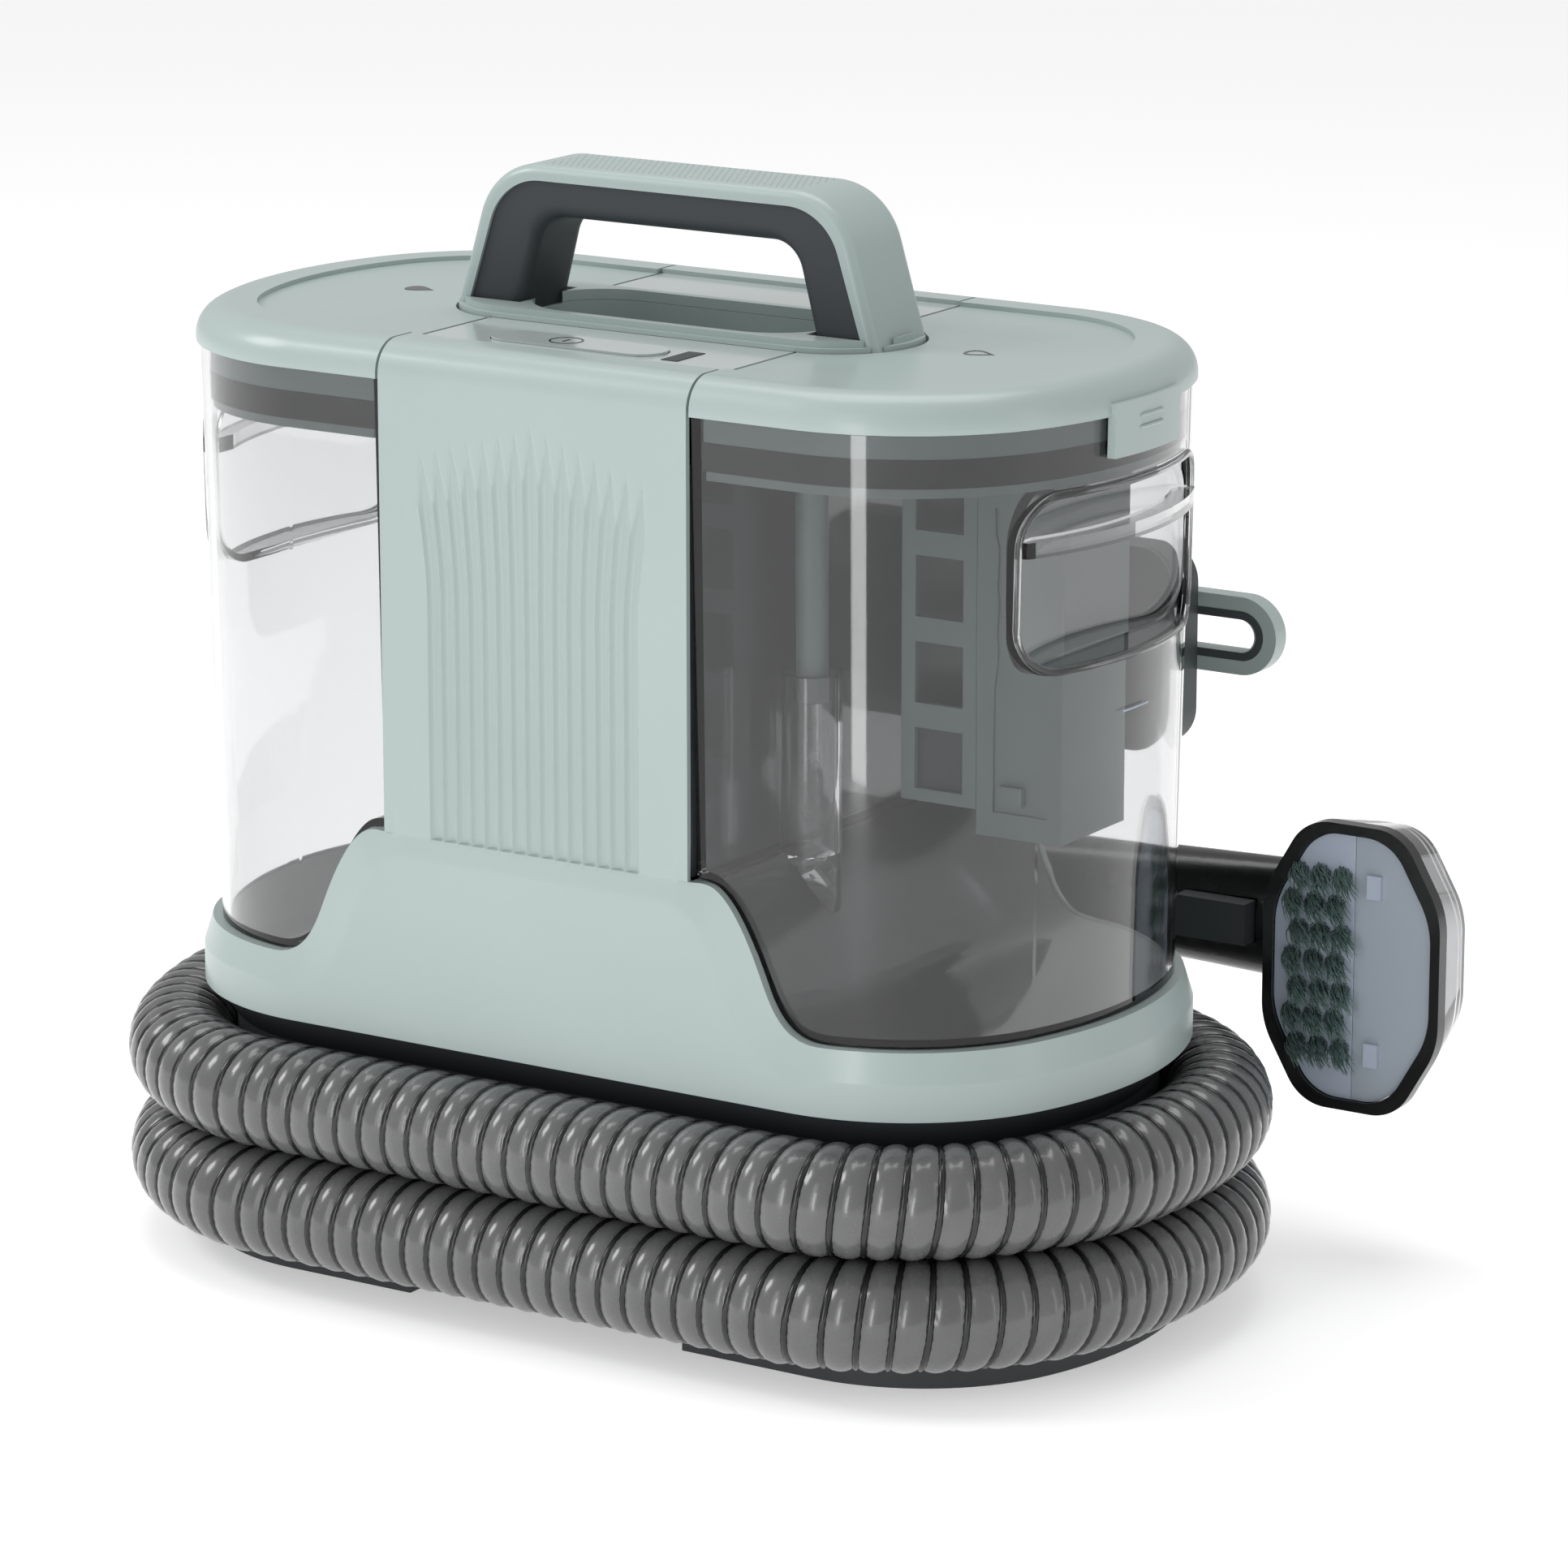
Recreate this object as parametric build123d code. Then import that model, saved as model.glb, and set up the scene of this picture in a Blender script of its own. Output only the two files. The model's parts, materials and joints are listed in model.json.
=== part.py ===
"""Portable carpet cleaner: a base wound with its hose, two clear tanks, a handle and a docked hand tool.

Millimetres. X runs along the machine to the right, Y to the back, Z up.
The origin is the centre of the footprint, on the floor.
"""
from build123d import *
from math import asin, cos, degrees, pi, radians, sin, sqrt, tan
import os

# ---------------------------------------------------------------- driving sizes
body_length = 338.0
body_width = 180.0
corner_radius = 70.0     # plan radius where a side turns into an end
end_radius = 125.0       # plan radius of the bulging end
strip_half = 58.0        # half width of the centre column
wall = 2.5
gap = 0.4                # between mouldings that meet
slide_gap = 1.0          # between a part that moves and what it passes

foot_height = 6.0
ledge_thick = 3.0
plinth_longer = 5.0         # how much longer than the body
plinth_narrower = 7.0
plinth_notch = 53.0      # half width of the cut in the middle of the plinth
drum_inset = 9.0         # the drum that the hose is wound on, inside the body's outline
drum_top = 76.0
shell_bottom = 87.0
skirt_proud = 1.5
skirt_top = 108.5
hump_top = 156.0
hump_foot = 106.0        # x where the hump runs out into the skirt

lid_bottom = 302.0
lid_top = 314.0
shoulder = 10.5          # radius over the top edge
recess_inset = 20.0
recess_depth = 1.5
deck_front = 72.0        # half depth of the deck panel

tank_draft_top = 1.5     # inset of the tank's wall at its top and at its foot
tank_draft_foot = 5.0
tank_wall = 2.5
pocket_half = 52.0
pocket_low = 226.0
pocket_high = 279.0
pocket_depth = 16.0
plug_foot = 282.0
gasket_low = 285.0
gasket_high = 294.0

surround_length = 168.0
surround_width = 56.0
surround_top = 316.0
well_half = 56.0
well_floor = 290.0
handle_half = 80.7
handle_half_top = 66.0
handle_top = 361.0
handle_depth = 32.0
grip_thick = 17.0

hose_radius = 19.8
hose_wall = 2.4
hose_bore = hose_radius - hose_wall
hose_clear = 0.8            # between the hose and the drum that it lies round
turn_gap = 0.6
port_radius = hose_bore - 0.4
port_bore = port_radius - 2.5
port_x = 24.0
cuff_wall = 2.2

tool_stand = 38.0           # the tool's axis behind the body
tool_y = body_width / 2 + tool_stand
tool_z = 107.5
tool_radius = 17.0
tool_tail = -50.0
head_face = tool_y - 18.0   # y of the brush head's front rim
head_left = body_length / 2 - 16.0
head_right = body_length / 2 + 49.0
head_low = 50.5
head_high = 147.5
head_divide = body_length / 2 + 17.0
head_back = tool_y + 10.0

# ---------------------------------------------------------------- plan outline
corner_y = body_width / 2 - corner_radius
corner_x = body_length / 2 - end_radius + sqrt((end_radius - corner_radius) ** 2 - corner_y ** 2)
bulge_x = body_length / 2 - end_radius
join_angle = degrees(asin(corner_y / (end_radius - corner_radius)))


def around(centre, radius, angle, z):
    return Vector(centre[0] + radius * cos(radians(angle)), centre[1] + radius * sin(radians(angle)), z)


def end_arcs(inset, z):
    """The right end of the outline, moved inwards, from the front side round to the back side."""
    corner, bulge = corner_radius - inset, end_radius - inset
    middle = (90 + join_angle) / 2
    front, back = (corner_x, -corner_y), (corner_x, corner_y)
    a = around(front, corner, -90, z)
    b = around((bulge_x, 0), bulge, -join_angle, z)
    c = around((bulge_x, 0), bulge, join_angle, z)
    d = around(back, corner, 90, z)
    return [
        ThreePointArc(a, around(front, corner, -middle, z), b),
        ThreePointArc(b, around((bulge_x, 0), bulge, 0, z), c),
        ThreePointArc(c, around(back, corner, middle, z), d),
    ]


def plan(inset, z):
    """The whole outline as a face at height z."""
    right = end_arcs(inset, z)
    left = [edge.mirror(Plane.YZ) for edge in right]
    side = body_width / 2 - inset
    sides = [Line((-corner_x, y, z), (corner_x, y, z)) for y in (-side, side)]
    return Face(Wire(right + left + sides))


def half_plan(inset, inner_x, z):
    """The outline right of inner_x as a face at height z."""
    side = body_width / 2 - inset
    lines = [
        Line((inner_x, -side, z), (corner_x, -side, z)),
        Line((corner_x, side, z), (inner_x, side, z)),
        Line((inner_x, side, z), (inner_x, -side, z)),
    ]
    return Face(Wire(end_arcs(inset, z) + lines))


def slab(inset, low, high):
    return extrude(plan(inset, low), high - low, dir=(0, 0, 1))


def half_slab(inset, inner_x, low, high):
    return extrude(half_plan(inset, inner_x, low), high - low, dir=(0, 0, 1))


def half_draft(inset_low, inset_high, inner_x, low, high):
    return loft([half_plan(inset_low, inner_x, low), half_plan(inset_high, inner_x, high)], ruled=True)


def block(x0, x1, y0, y1, z0, z1):
    return Pos((x0 + x1) / 2, (y0 + y1) / 2, (z0 + z1) / 2) * Box(x1 - x0, y1 - y0, z1 - z0)


def oval(length, width, low, high):
    return extrude(Pos(0, 0, low) * SlotOverall(length, width), high - low, dir=(0, 0, 1))


def rod(start, end, radius):
    """A cylinder between two points."""
    axis = Vector(*end) - Vector(*start)
    return extrude(Plane(origin=start, z_dir=axis) * Circle(radius), axis.length)


def mirrored(part):
    return mirror(part, about=Plane.YZ)


nodes = {}

# ---------------------------------------------------------------- base
ledge_top = foot_height + ledge_thick
far = body_length


def plinth(low, high):
    """The flat oval under the machine, longer and narrower than the body."""
    stretch = plinth_longer + plinth_narrower
    face = plan(plinth_narrower / 2, low)
    solid = extrude(face, high - low, dir=(0, 0, 1))
    right = Pos(stretch / 2, 0, 0) * (solid & block(0, far, -far, far, low, high))
    left = mirrored(right)
    width = (body_width - plinth_narrower) / 2
    return right + left + block(-stretch / 2 - 1, stretch / 2 + 1, -width, width, low, high)


notch = block(-plinth_notch, plinth_notch, -far, -body_width / 4, 0, foot_height)
nodes["foot_plinth"] = plinth(0, foot_height) - notch - mirror(notch, about=Plane.XZ)

drum = slab(drum_inset, foot_height, drum_top)
flare = loft([plan(drum_inset, drum_top), plan(gap, shell_bottom)], ruled=True)
drum_bore = slab(drum_inset + wall, ledge_top, drum_top)
flare_bore = loft([plan(drum_inset + wall, drum_top), plan(gap + wall, shell_bottom)], ruled=True)
first_turn = ledge_top + hose_radius + gap
port_hole = rod((port_x, 0, first_turn), (port_x, body_width / 2, first_turn), port_radius + gap)
shelf_low = drum_top - ledge_thick
shelf = slab(drum_inset + wall - 0.5, shelf_low, drum_top) - slab(drum_inset + wall + 4, shelf_low, drum_top)
nodes["base_pan"] = plinth(foot_height, ledge_top) + drum + flare - drum_bore - flare_bore + shelf - port_hole


def profile(offset, top, half):
    """The skirt, hump and centre strip seen from the front, as a closed face on the XZ plane."""
    low, foot = skirt_top - offset, hump_foot
    knee = (strip_half + hump_foot) / 2
    sides = []
    for s in (1, -1):
        start = (s * far, low)
        rise = Spline(
            (s * foot, low),
            (s * knee, (low + hump_top - offset) / 2),
            (s * (strip_half + slide_gap + 5), hump_top - offset - 1.2),
            tangents=((-s, 0), (-s, 0.08)),
            tangent_scalars=(1.4, 0.7),
        )
        step = [
            Line(start, (s * foot, low)),
            rise,
            Line((s * (strip_half + slide_gap + 5), hump_top - offset - 1.2), (s * half, hump_top - offset)),
            Line((s * half, hump_top - offset), (s * half, top)),
            Line(start, (s * far, 0)),
        ]
        sides += step
    sides += [Line((-half, top), (half, top)), Line((-far, 0), (far, 0))]
    return Plane.XZ * Face(Wire(sides))


def through(face):
    """A profile carried right through the machine from front to back."""
    return extrude(face, body_width, both=True)


shell = slab(-skirt_proud, shell_bottom, hump_top) + slab(0, hump_top, lid_top)
shell = shell & through(profile(0, lid_top, strip_half))
saddle = slab(wall - skirt_proud, shell_bottom, hump_top)
saddle = saddle & through(profile(wall, hump_top, strip_half - wall))
inside_wall = body_width / 2 - wall
column_bore = block(
    -strip_half, strip_half, -inside_wall, inside_wall, shell_bottom, lid_top - shoulder - gap
)
deck_hole = block(-strip_half, strip_half, -deck_front, deck_front, lid_top - shoulder - wall, lid_top)
housing = shell - saddle - column_bore - deck_hole
top_edges = [
    e for e in housing.edges().filter_by(Axis.X)
    if abs(e.center().Z - lid_top) < 0.1 and abs(abs(e.center().Y) - body_width / 2) < 0.1
]
housing = fillet(top_edges, shoulder)

rib_count, rib_pitch, rib_radius, rib_sink = 16, 5.2, 1.5, 0.7
rib_foot, rib_top = hump_top - 1, 285.0
for index in range(rib_count):
    x = (index - (rib_count - 1) / 2) * rib_pitch
    top = rib_top - abs(x) * 0.25
    housing += rod((x, rib_sink - body_width / 2, rib_foot), (x, rib_sink - body_width / 2, top), rib_radius)

slot_half, slot_high = 30.0, 2.4
grille_slots = [
    block(-slot_half, slot_half, body_width / 2 - 2 * wall, body_width / 2 + wall, z, z + slot_high)
    for z in range(205, 245, 5)
]
gland_x = -30.0
gland_z = 262.0
gland_radius = 5.0
for slot in grille_slots:
    housing -= slot
gland_bore = rod((gland_x, body_width / 2 - 3 * wall, gland_z), (gland_x, body_width, gland_z), gland_radius)
housing -= gland_bore
nodes["housing_shell"] = housing



def gland_part(start, end, radius):
    """A length of the gland, measured outwards from the back wall's face."""
    y = body_width / 2
    return rod((gland_x, y + start, gland_z), (gland_x, y + end, gland_z), radius)


flange_thick, nose_end = 3.0, 12.0
gland_flange = gland_part(0, flange_thick, gland_radius + 3)
gland_nose = gland_part(flange_thick, nose_end, gland_radius + 1)
gland_stem = gland_part(-wall - 2, 1, gland_radius - 0.2)
cord_hole = 3.4
cord_way = gland_part(-body_width / 2, body_width / 2, cord_hole)
nodes["cord_gland"] = gland_flange + gland_nose + gland_stem - cord_way

# ---------------------------------------------------------------- centre column
panel_outer = strip_half - gap
outlet_y, outlet_z, outlet_radius = -20.0, 172.0, 8.0
inlet_y, inlet_z, inlet_radius = 22.0, 258.0, 12.0


def side_panel(y, z, radius):
    """A column wall facing a tank, open for the tank's spigot."""
    inside = body_width / 2 - wall - gap
    plate = block(panel_outer - wall, panel_outer, -inside, inside, hump_top, well_floor - wall - slide_gap)
    return plate - rod((0, y, z), (far, y, z), radius)


socket_wall = 2.0
socket_gap = 0.5
socket_reach = 10.0
outlet_socket = outlet_radius + socket_gap + socket_wall
inlet_socket = inlet_radius + socket_gap + socket_wall
nodes["column_wall_right"] = side_panel(outlet_y, outlet_z, outlet_socket + 0.2)
nodes["column_wall_left"] = mirrored(side_panel(inlet_y, inlet_z, inlet_socket + 0.2))


def socket(y, z, bore, reach):
    """A rubber ring in a column wall that a tank's spigot slides into."""
    outer = rod((panel_outer - reach, y, z), (panel_outer, y, z), bore + socket_wall)
    return outer - rod((panel_outer - reach + 2, y, z), (far, y, z), bore)


nodes["clean_socket"] = socket(outlet_y, outlet_z, outlet_radius + socket_gap, socket_reach)
nodes["dirty_socket"] = mirrored(socket(inlet_y, inlet_z, inlet_radius + socket_gap, socket_reach))

chassis_low = drum_top
nodes["chassis_plate"] = (
    slab(drum_inset + wall + gap, chassis_low, chassis_low + 3)
    - rod((port_x, 55, 0), (port_x, 55, far), port_radius + 1)
)

deck_bottom = lid_top - shoulder
deck_top = lid_top - recess_depth
deck_half = strip_half - gap
deck = block(-deck_half, deck_half, gap - deck_front, deck_front - gap, deck_bottom, deck_top)
pad_x, pad_y, pad_length, pad_width = -6.0, -53.5, 64.0, 17.0
slot_x, slot_width, slot_length = 33.0, 6.0, 16.0
pad_depth = 4.0
pad = extrude(Pos(pad_x, pad_y, deck_top - pad_depth) * SlotOverall(pad_length, pad_width), pad_depth + 0.8)
pad_seat = extrude(
    Pos(pad_x, pad_y, deck_bottom) * SlotOverall(pad_length + 2 * gap, pad_width + 2 * gap), far
)
lens = block(
    slot_x - slot_width / 2, slot_x + slot_width / 2, pad_y - slot_length / 2, pad_y + slot_length / 2,
    deck_bottom + 2, deck_top + 0.2,
)
lens_seat = block(
    slot_x - slot_width / 2 - 0.2, slot_x + slot_width / 2 + 0.2, pad_y - slot_length / 2 - 0.2,
    pad_y + slot_length / 2 + 0.2, deck_bottom, far,
)
nodes["top_deck"] = deck - pad_seat - lens_seat - oval(surround_length, surround_width - 6 + 2 * gap, 0, far)
nodes["power_button"] = pad
nodes["indicator_window"] = lens

board_top = well_floor - 5.0
board_half = panel_outer - wall
board_thick = 1.6
board = block(
    -board_half, board_half, 3 - inside_wall, -surround_width / 2 - 5, board_top - board_thick, board_top
)
nodes["circuit_board"] = board
switch_top = deck_top - pad_depth - 3.0
nodes["power_switch"] = block(pad_x - 6, pad_x + 6, pad_y - 6, pad_y + 6, board_top, switch_top)


def coil_spring(x, y, low, high, radius, wire, turns):
    path = Pos(x, y, low + wire) * Helix(pitch=(high - low - 2 * wire) / turns, height=high - low - 2 * wire,
                                         radius=radius)
    section = Plane(origin=path @ 0, z_dir=path % 0) * Circle(wire)
    return sweep(section, path=path)


nodes["button_spring"] = coil_spring(pad_x, pad_y, switch_top, deck_top - pad_depth, 4.0, 0.35, 2)

# ---------------------------------------------------------------- handle
surround_low = lid_bottom + 2.0
ring = oval(surround_length, surround_width, surround_low, surround_top - 2)
ring += oval(surround_length - 4, surround_width - 4, surround_low, surround_top)
tub_width = surround_width - 6
tub = oval(2 * well_half + 2 * wall, tub_width, well_floor - wall, surround_low)
well = oval(2 * well_half, tub_width - 2 * wall, well_floor, far)
leg_y = handle_depth / 2
ring_flange = block(-deck_half, deck_half, -far, far, surround_low, deck_top)
ring_in_deck = (ring & ring_flange) & oval(surround_length, tub_width, 0, far)
ring_above = ring - block(-far, far, -far, far, 0, deck_top + 0.1)
ring_ends = ring - block(-strip_half - gap, strip_half + gap, -far, far, 0, far)
surround = ring_in_deck + ring_above + ring_ends + tub - well


def handle_outline(foot, top, half_foot, half_top, radius):
    """The handle seen from the front: two legs leaning in and rounded into the grip."""
    pts = [(half_foot, foot), (half_top, top), (-half_top, top), (-half_foot, foot)]
    face = Plane.XZ * make_face(Polyline(*pts, close=True))
    corners = [v for v in face.vertices() if v.Z > (foot + top) / 2]
    return fillet(corners, radius)


leg_foot = surround_top - 4.0
outer_face = handle_outline(leg_foot, handle_top, handle_half, handle_half_top, 24)
skin = 5.0
middle_half, middle_half_top = handle_half - skin, handle_half_top - skin + 0.6
middle_face = handle_outline(leg_foot, handle_top - skin, middle_half, middle_half_top, 20)
inner_half, inner_half_top = well_half + 0.6, 48.0
inner_top = handle_top - grip_thick
inner_face = handle_outline(leg_foot - 1, inner_top, inner_half, inner_half_top, 11)


def across(face, half):
    return extrude(face, half, both=True)


shell_part = across(outer_face, leg_y) - across(middle_face, leg_y + 1)
outer_long = [
    e for e in shell_part.edges()
    if abs(abs(e.center().Y) - leg_y) < 0.01 and e.center().Z > leg_foot + 1
    and max(abs(e.center().X) - handle_half + skin, e.center().Z - handle_top + 2) > 0
]
nodes["handle_shell"] = fillet(outer_long, 3.5)
grip_part = across(middle_face, leg_y - 1.2) - across(inner_face, leg_y + 1)
grip_edges = [
    e for e in grip_part.edges()
    if abs(abs(e.center().Y) - leg_y + 1.2) < 0.01 and e.center().Z > leg_foot + 1
    and abs(e.center().X) < inner_half + 1 and e.center().Z < inner_top + 1
]
nodes["handle_grip"] = fillet(grip_edges, 5)
leg_seat = across(handle_outline(leg_foot, far, handle_half + gap, handle_half + gap, 1), leg_y + gap)
leg_seat -= block(-inner_half + 2, inner_half - 2, -far, far, 0, far)
nodes["handle_surround"] = surround - leg_seat

# ---------------------------------------------------------------- tanks
tank_inner = strip_half + slide_gap
tank_top = lid_bottom - gap
seat = through(profile(-gap, hump_top, strip_half))
seat_inner = through(profile(-gap - tank_wall, hump_top, strip_half))
tank_foot = skirt_top + gap


def tank_inset(z):
    share = (z - shell_bottom) / (tank_top - shell_bottom)
    return tank_draft_foot + (tank_draft_top - tank_draft_foot) * share


def rounded_pocket(grow):
    """The finger pocket in the tank's end, grown by a wall."""
    end = body_length / 2
    solid = block(end - pocket_depth - grow, end + 20, -pocket_half - grow, pocket_half + grow,
                  pocket_low - grow, pocket_high + grow)
    return fillet(solid.edges().filter_by(Axis.X), 14 + grow)


alcove_length = surround_length + 4 * slide_gap
alcove_width = surround_width + 4 * slide_gap
alcove_floor = well_floor - wall - slide_gap


def make_tank():
    outer = half_draft(tank_draft_foot, tank_draft_top, tank_inner, shell_bottom, tank_top)
    inner = half_draft(
        tank_draft_foot + tank_wall, tank_draft_top + tank_wall, tank_inner + tank_wall,
        shell_bottom, tank_top,
    )
    alcove = oval(alcove_length, alcove_width, alcove_floor, far)
    walls = 2 * tank_wall
    alcove_wall = oval(alcove_length + walls, alcove_width + walls, alcove_floor - tank_wall, far)
    cavity = inner - seat_inner - rounded_pocket(tank_wall) - alcove_wall
    return outer - seat - cavity - rounded_pocket(0) - alcove


def spigot(y, z, radius):
    reach = socket_reach - 1.0
    tube = rod((tank_inner - reach, y, z), (tank_inner + tank_wall, y, z), radius)
    return tube, rod((tank_inner - reach - 1, y, z), (tank_inner + 2 * tank_wall, y, z), radius - 2)


tank = make_tank()
clean_tube, clean_bore = spigot(outlet_y, outlet_z, outlet_radius)
dirty_tube, dirty_bore = spigot(inlet_y, inlet_z, inlet_radius)
nodes["clean_tank"] = tank + clean_tube - clean_bore
nodes["dirty_tank"] = mirrored(tank + dirty_tube - dirty_bore)

bar_low, bar_high, bar_width = 262.0, 267.0, 7.0
bar_outer = tank_inset(bar_high) - 1.5
bar = half_slab(bar_outer, tank_inner, bar_low, bar_high)
bar -= half_slab(bar_outer + bar_width, tank_inner, 0, far)
bar = bar & block(0, far, -pocket_half, pocket_half, 0, far) & rounded_pocket(-0.05)
nodes["clean_tank_grip"] = bar
nodes["dirty_tank_grip"] = mirrored(bar)

# ---------------------------------------------------------------- lids
lid_inner = strip_half + slide_gap
lid_notch = oval(surround_length + 2 * slide_gap, surround_width + 2 * slide_gap, 0, far)
lid = half_slab(0, lid_inner, lid_bottom, lid_top)
rim_edges = [
    e for e in lid.edges()
    if abs(e.center().Z - lid_top) < 0.1 and e.center().X > lid_inner + 1
]
lid = fillet(rim_edges, shoulder)
lid -= half_slab(recess_inset, 0, lid_top - recess_depth, lid_top)
lid_skin = 3.0
hollow = half_slab(8, lid_inner + lid_skin, lid_bottom, lid_top - recess_depth - lid_skin)
notch_wall = 2 * (slide_gap + lid_skin)
hollow -= oval(surround_length + notch_wall, surround_width + notch_wall, 0, far)
lid = lid - hollow - lid_notch
tab_half, tab_low, tab_thick = 20.0, 289.0, 3.0
tab_proud = 1.4
tab = half_slab(-tab_proud, 0, tab_low, lid_bottom + 4) - half_slab(tab_thick - tab_proud, -1, 0, far)
tab = tab & block(0, far, -tab_half, tab_half, 0, far)
tank_side = half_draft(tank_draft_foot - gap, tank_draft_top - gap, tank_inner, shell_bottom, tank_top)
nodes["clean_lid"] = lid + (tab - tank_side)
nodes["dirty_lid"] = mirrored(nodes["clean_lid"])

plug_gap = 0.6
plug_inset = tank_draft_top + tank_wall + plug_gap
plug_inner = tank_inner + tank_wall + plug_gap
groove = 3.5
plug_wall = 3.0
notch_clear = 2 * (tank_wall + plug_gap)
plug_notch = oval(alcove_length + notch_clear, alcove_width + notch_clear, 0, far)
groove_notch = oval(alcove_length + notch_clear + 2 * groove, alcove_width + notch_clear + 2 * groove, 0, far)


def plug_layer(shrink, low, high, notch_shape):
    return half_slab(plug_inset + shrink, plug_inner + shrink, low, high) - notch_shape


inner_clear = notch_clear + 2 * (groove + plug_wall)
inner_notch = oval(alcove_length + inner_clear, alcove_width + inner_clear, 0, far)
plug = plug_layer(0, gasket_high, lid_bottom, plug_notch)
plug += plug_layer(groove, gasket_low, gasket_high, groove_notch)
plug += plug_layer(0.6, plug_foot, gasket_low, plug_notch)
plug -= plug_layer(groove + plug_wall, plug_foot + 2, lid_bottom - 2, inner_notch)
nodes["clean_lid_plug"] = plug
nodes["dirty_lid_plug"] = mirrored(plug)
squeeze = 0.25              # how far the gasket stands out of its groove
rim_clear, root_clear = notch_clear - 2 * squeeze, notch_clear + 2 * groove - 0.2
gasket_rim = oval(alcove_length + rim_clear, alcove_width + rim_clear, 0, far)
gasket_root = oval(alcove_length + root_clear, alcove_width + root_clear, 0, far)
gasket = plug_layer(-squeeze, gasket_low, gasket_high, gasket_rim)
gasket -= plug_layer(groove - 0.1, gasket_low, gasket_high, gasket_root)
nodes["clean_gasket"] = gasket
nodes["dirty_gasket"] = mirrored(gasket)

# ---------------------------------------------------------------- inside the clean tank
cage_x, cage_length, cage_y, cage_depth = 90.2, 27.5, -16.0, 40.0
cage_low, cage_wall = 171.0, 2.0
box_clear = 2.6             # between the box and the finger pocket behind it
window_rows = 4


def make_cage():
    """A tall open frame with windows in rows on its front and back."""
    x1, y1 = cage_x + cage_length, cage_y + cage_depth
    solid = block(cage_x, x1, cage_y, y1, cage_low, plug_foot)
    w = cage_wall
    solid -= block(cage_x + w, x1 - w, cage_y + w, y1 - w, cage_low + w, far)
    pitch = (plug_foot - cage_low) / window_rows
    for row in range(window_rows):
        low = cage_low + row * pitch + 4
        solid -= block(cage_x + 5, x1 - 5, cage_y - 1, y1 + 1, low, low + pitch - 8)
    return solid


nodes["float_cage"] = make_cage()
float_gap = 1.0
inset = cage_wall + float_gap
nodes["float"] = block(
    cage_x + inset, cage_x + cage_length - inset, cage_y + inset, cage_y + cage_depth - inset,
    cage_low + cage_wall + 0.3, cage_low + cage_wall + 26,
)
box_x = cage_x + cage_length + 0.2
box_length = body_length / 2 - pocket_depth - tank_wall - box_clear - box_x
box_end, box_back, box_low = box_x + box_length, cage_y + cage_depth, cage_low - 8
w = cage_wall
filter_box = block(box_x, box_end, cage_y, box_back, box_low, plug_foot)
filter_box -= block(box_x + w, box_end - w, cage_y + w, box_back - w, box_low + w, plug_foot - 3)
filter_box -= block(box_x + 6, box_end - 5, cage_y - 1, cage_y + 1, cage_low, plug_foot - 14)
nodes["filter_box"] = filter_box
catch = block(box_x + 9, box_x + 17, cage_y - 1.5, cage_y + 0.7, cage_low + 3, cage_low + 9)
nodes["filter_catch"] = catch

riser_x, riser_y, riser_radius = 71.5, -39.0, 5.2
riser_low, sleeve_radius, sleeve_top = 205.0, 9.5, 214.0
nodes["riser_tube"] = (
    rod((riser_x, riser_y, riser_low), (riser_x, riser_y, plug_foot), riser_radius)
    - rod((riser_x, riser_y, riser_low - 1), (riser_x, riser_y, plug_foot - 2), riser_radius - 1.5)
)
sleeve = rod((riser_x, riser_y, skirt_top), (riser_x, riser_y, sleeve_top), sleeve_radius) - seat_inner
sleeve -= rod((riser_x, riser_y, hump_top), (riser_x, riser_y, far), sleeve_radius - 1.8)
nodes["riser_sleeve"] = sleeve

# ---------------------------------------------------------------- motor, fan, pump and ducts
motor_radius, motor_low, motor_high = 38.0, 168.0, 236.0
fan_low, fan_high, fan_radius, shaft_radius = 128.0, 160.0, 40.0, 4.0
motor_y = 0.0
case_wall, fan_clear = 3.0, 3.0
case_top = fan_high + 4
fan_case = rod((0, motor_y, fan_low - case_wall), (0, motor_y, case_top), fan_radius + fan_clear + case_wall)
fan_case -= rod((0, motor_y, fan_low), (0, motor_y, fan_high), fan_radius + fan_clear)
fan_case -= rod((0, motor_y, fan_high - 1), (0, motor_y, fan_high + 9), shaft_radius + 1)
fan_case -= rod((0, motor_y, 0), (0, motor_y, fan_low + 1), 14)
nodes["fan_housing"] = fan_case
blade = block(shaft_radius + 2, fan_radius - 2, -1, 1, fan_low + 5, fan_high - 6)
fan = rod((0, 0, fan_low + 2), (0, 0, fan_low + 5), fan_radius - 1)
fan += rod((0, 0, fan_low + 2), (0, 0, fan_high - 3), shaft_radius + 4)
blade_count = 9
for index in range(blade_count):
    fan += Rot(0, 0, index * 360 / blade_count) * blade
fan += rod((0, 0, fan_low + 2), (0, 0, motor_low + 8), shaft_radius)
nodes["fan_rotor"] = Pos(0, motor_y, 0) * fan
motor = rod((0, motor_y, case_top), (0, motor_y, motor_high), motor_radius)
motor -= rod((0, motor_y, fan_high), (0, motor_y, motor_low + 10), shaft_radius + 0.08)
nodes["suction_motor"] = motor
mount_half = panel_outer - wall
mount_depth, mount_thick = 50.0, 4.0
mount_top = motor_high + mount_thick
mount = block(-mount_half, mount_half, motor_y - mount_depth, motor_y + mount_depth, motor_high, mount_top)
nodes["motor_mount"] = mount - rod((0, motor_y, 0), (0, motor_y, far), 12)
case_foot = chassis_low + 3
stand = rod((0, motor_y, case_foot), (0, motor_y, fan_low - 3), fan_radius - 6)
nodes["intake_duct"] = stand - rod((0, motor_y, case_foot - 1), (0, motor_y, far), fan_radius - 9)
pump_x, pump_y = -4.0, -63.0
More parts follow.
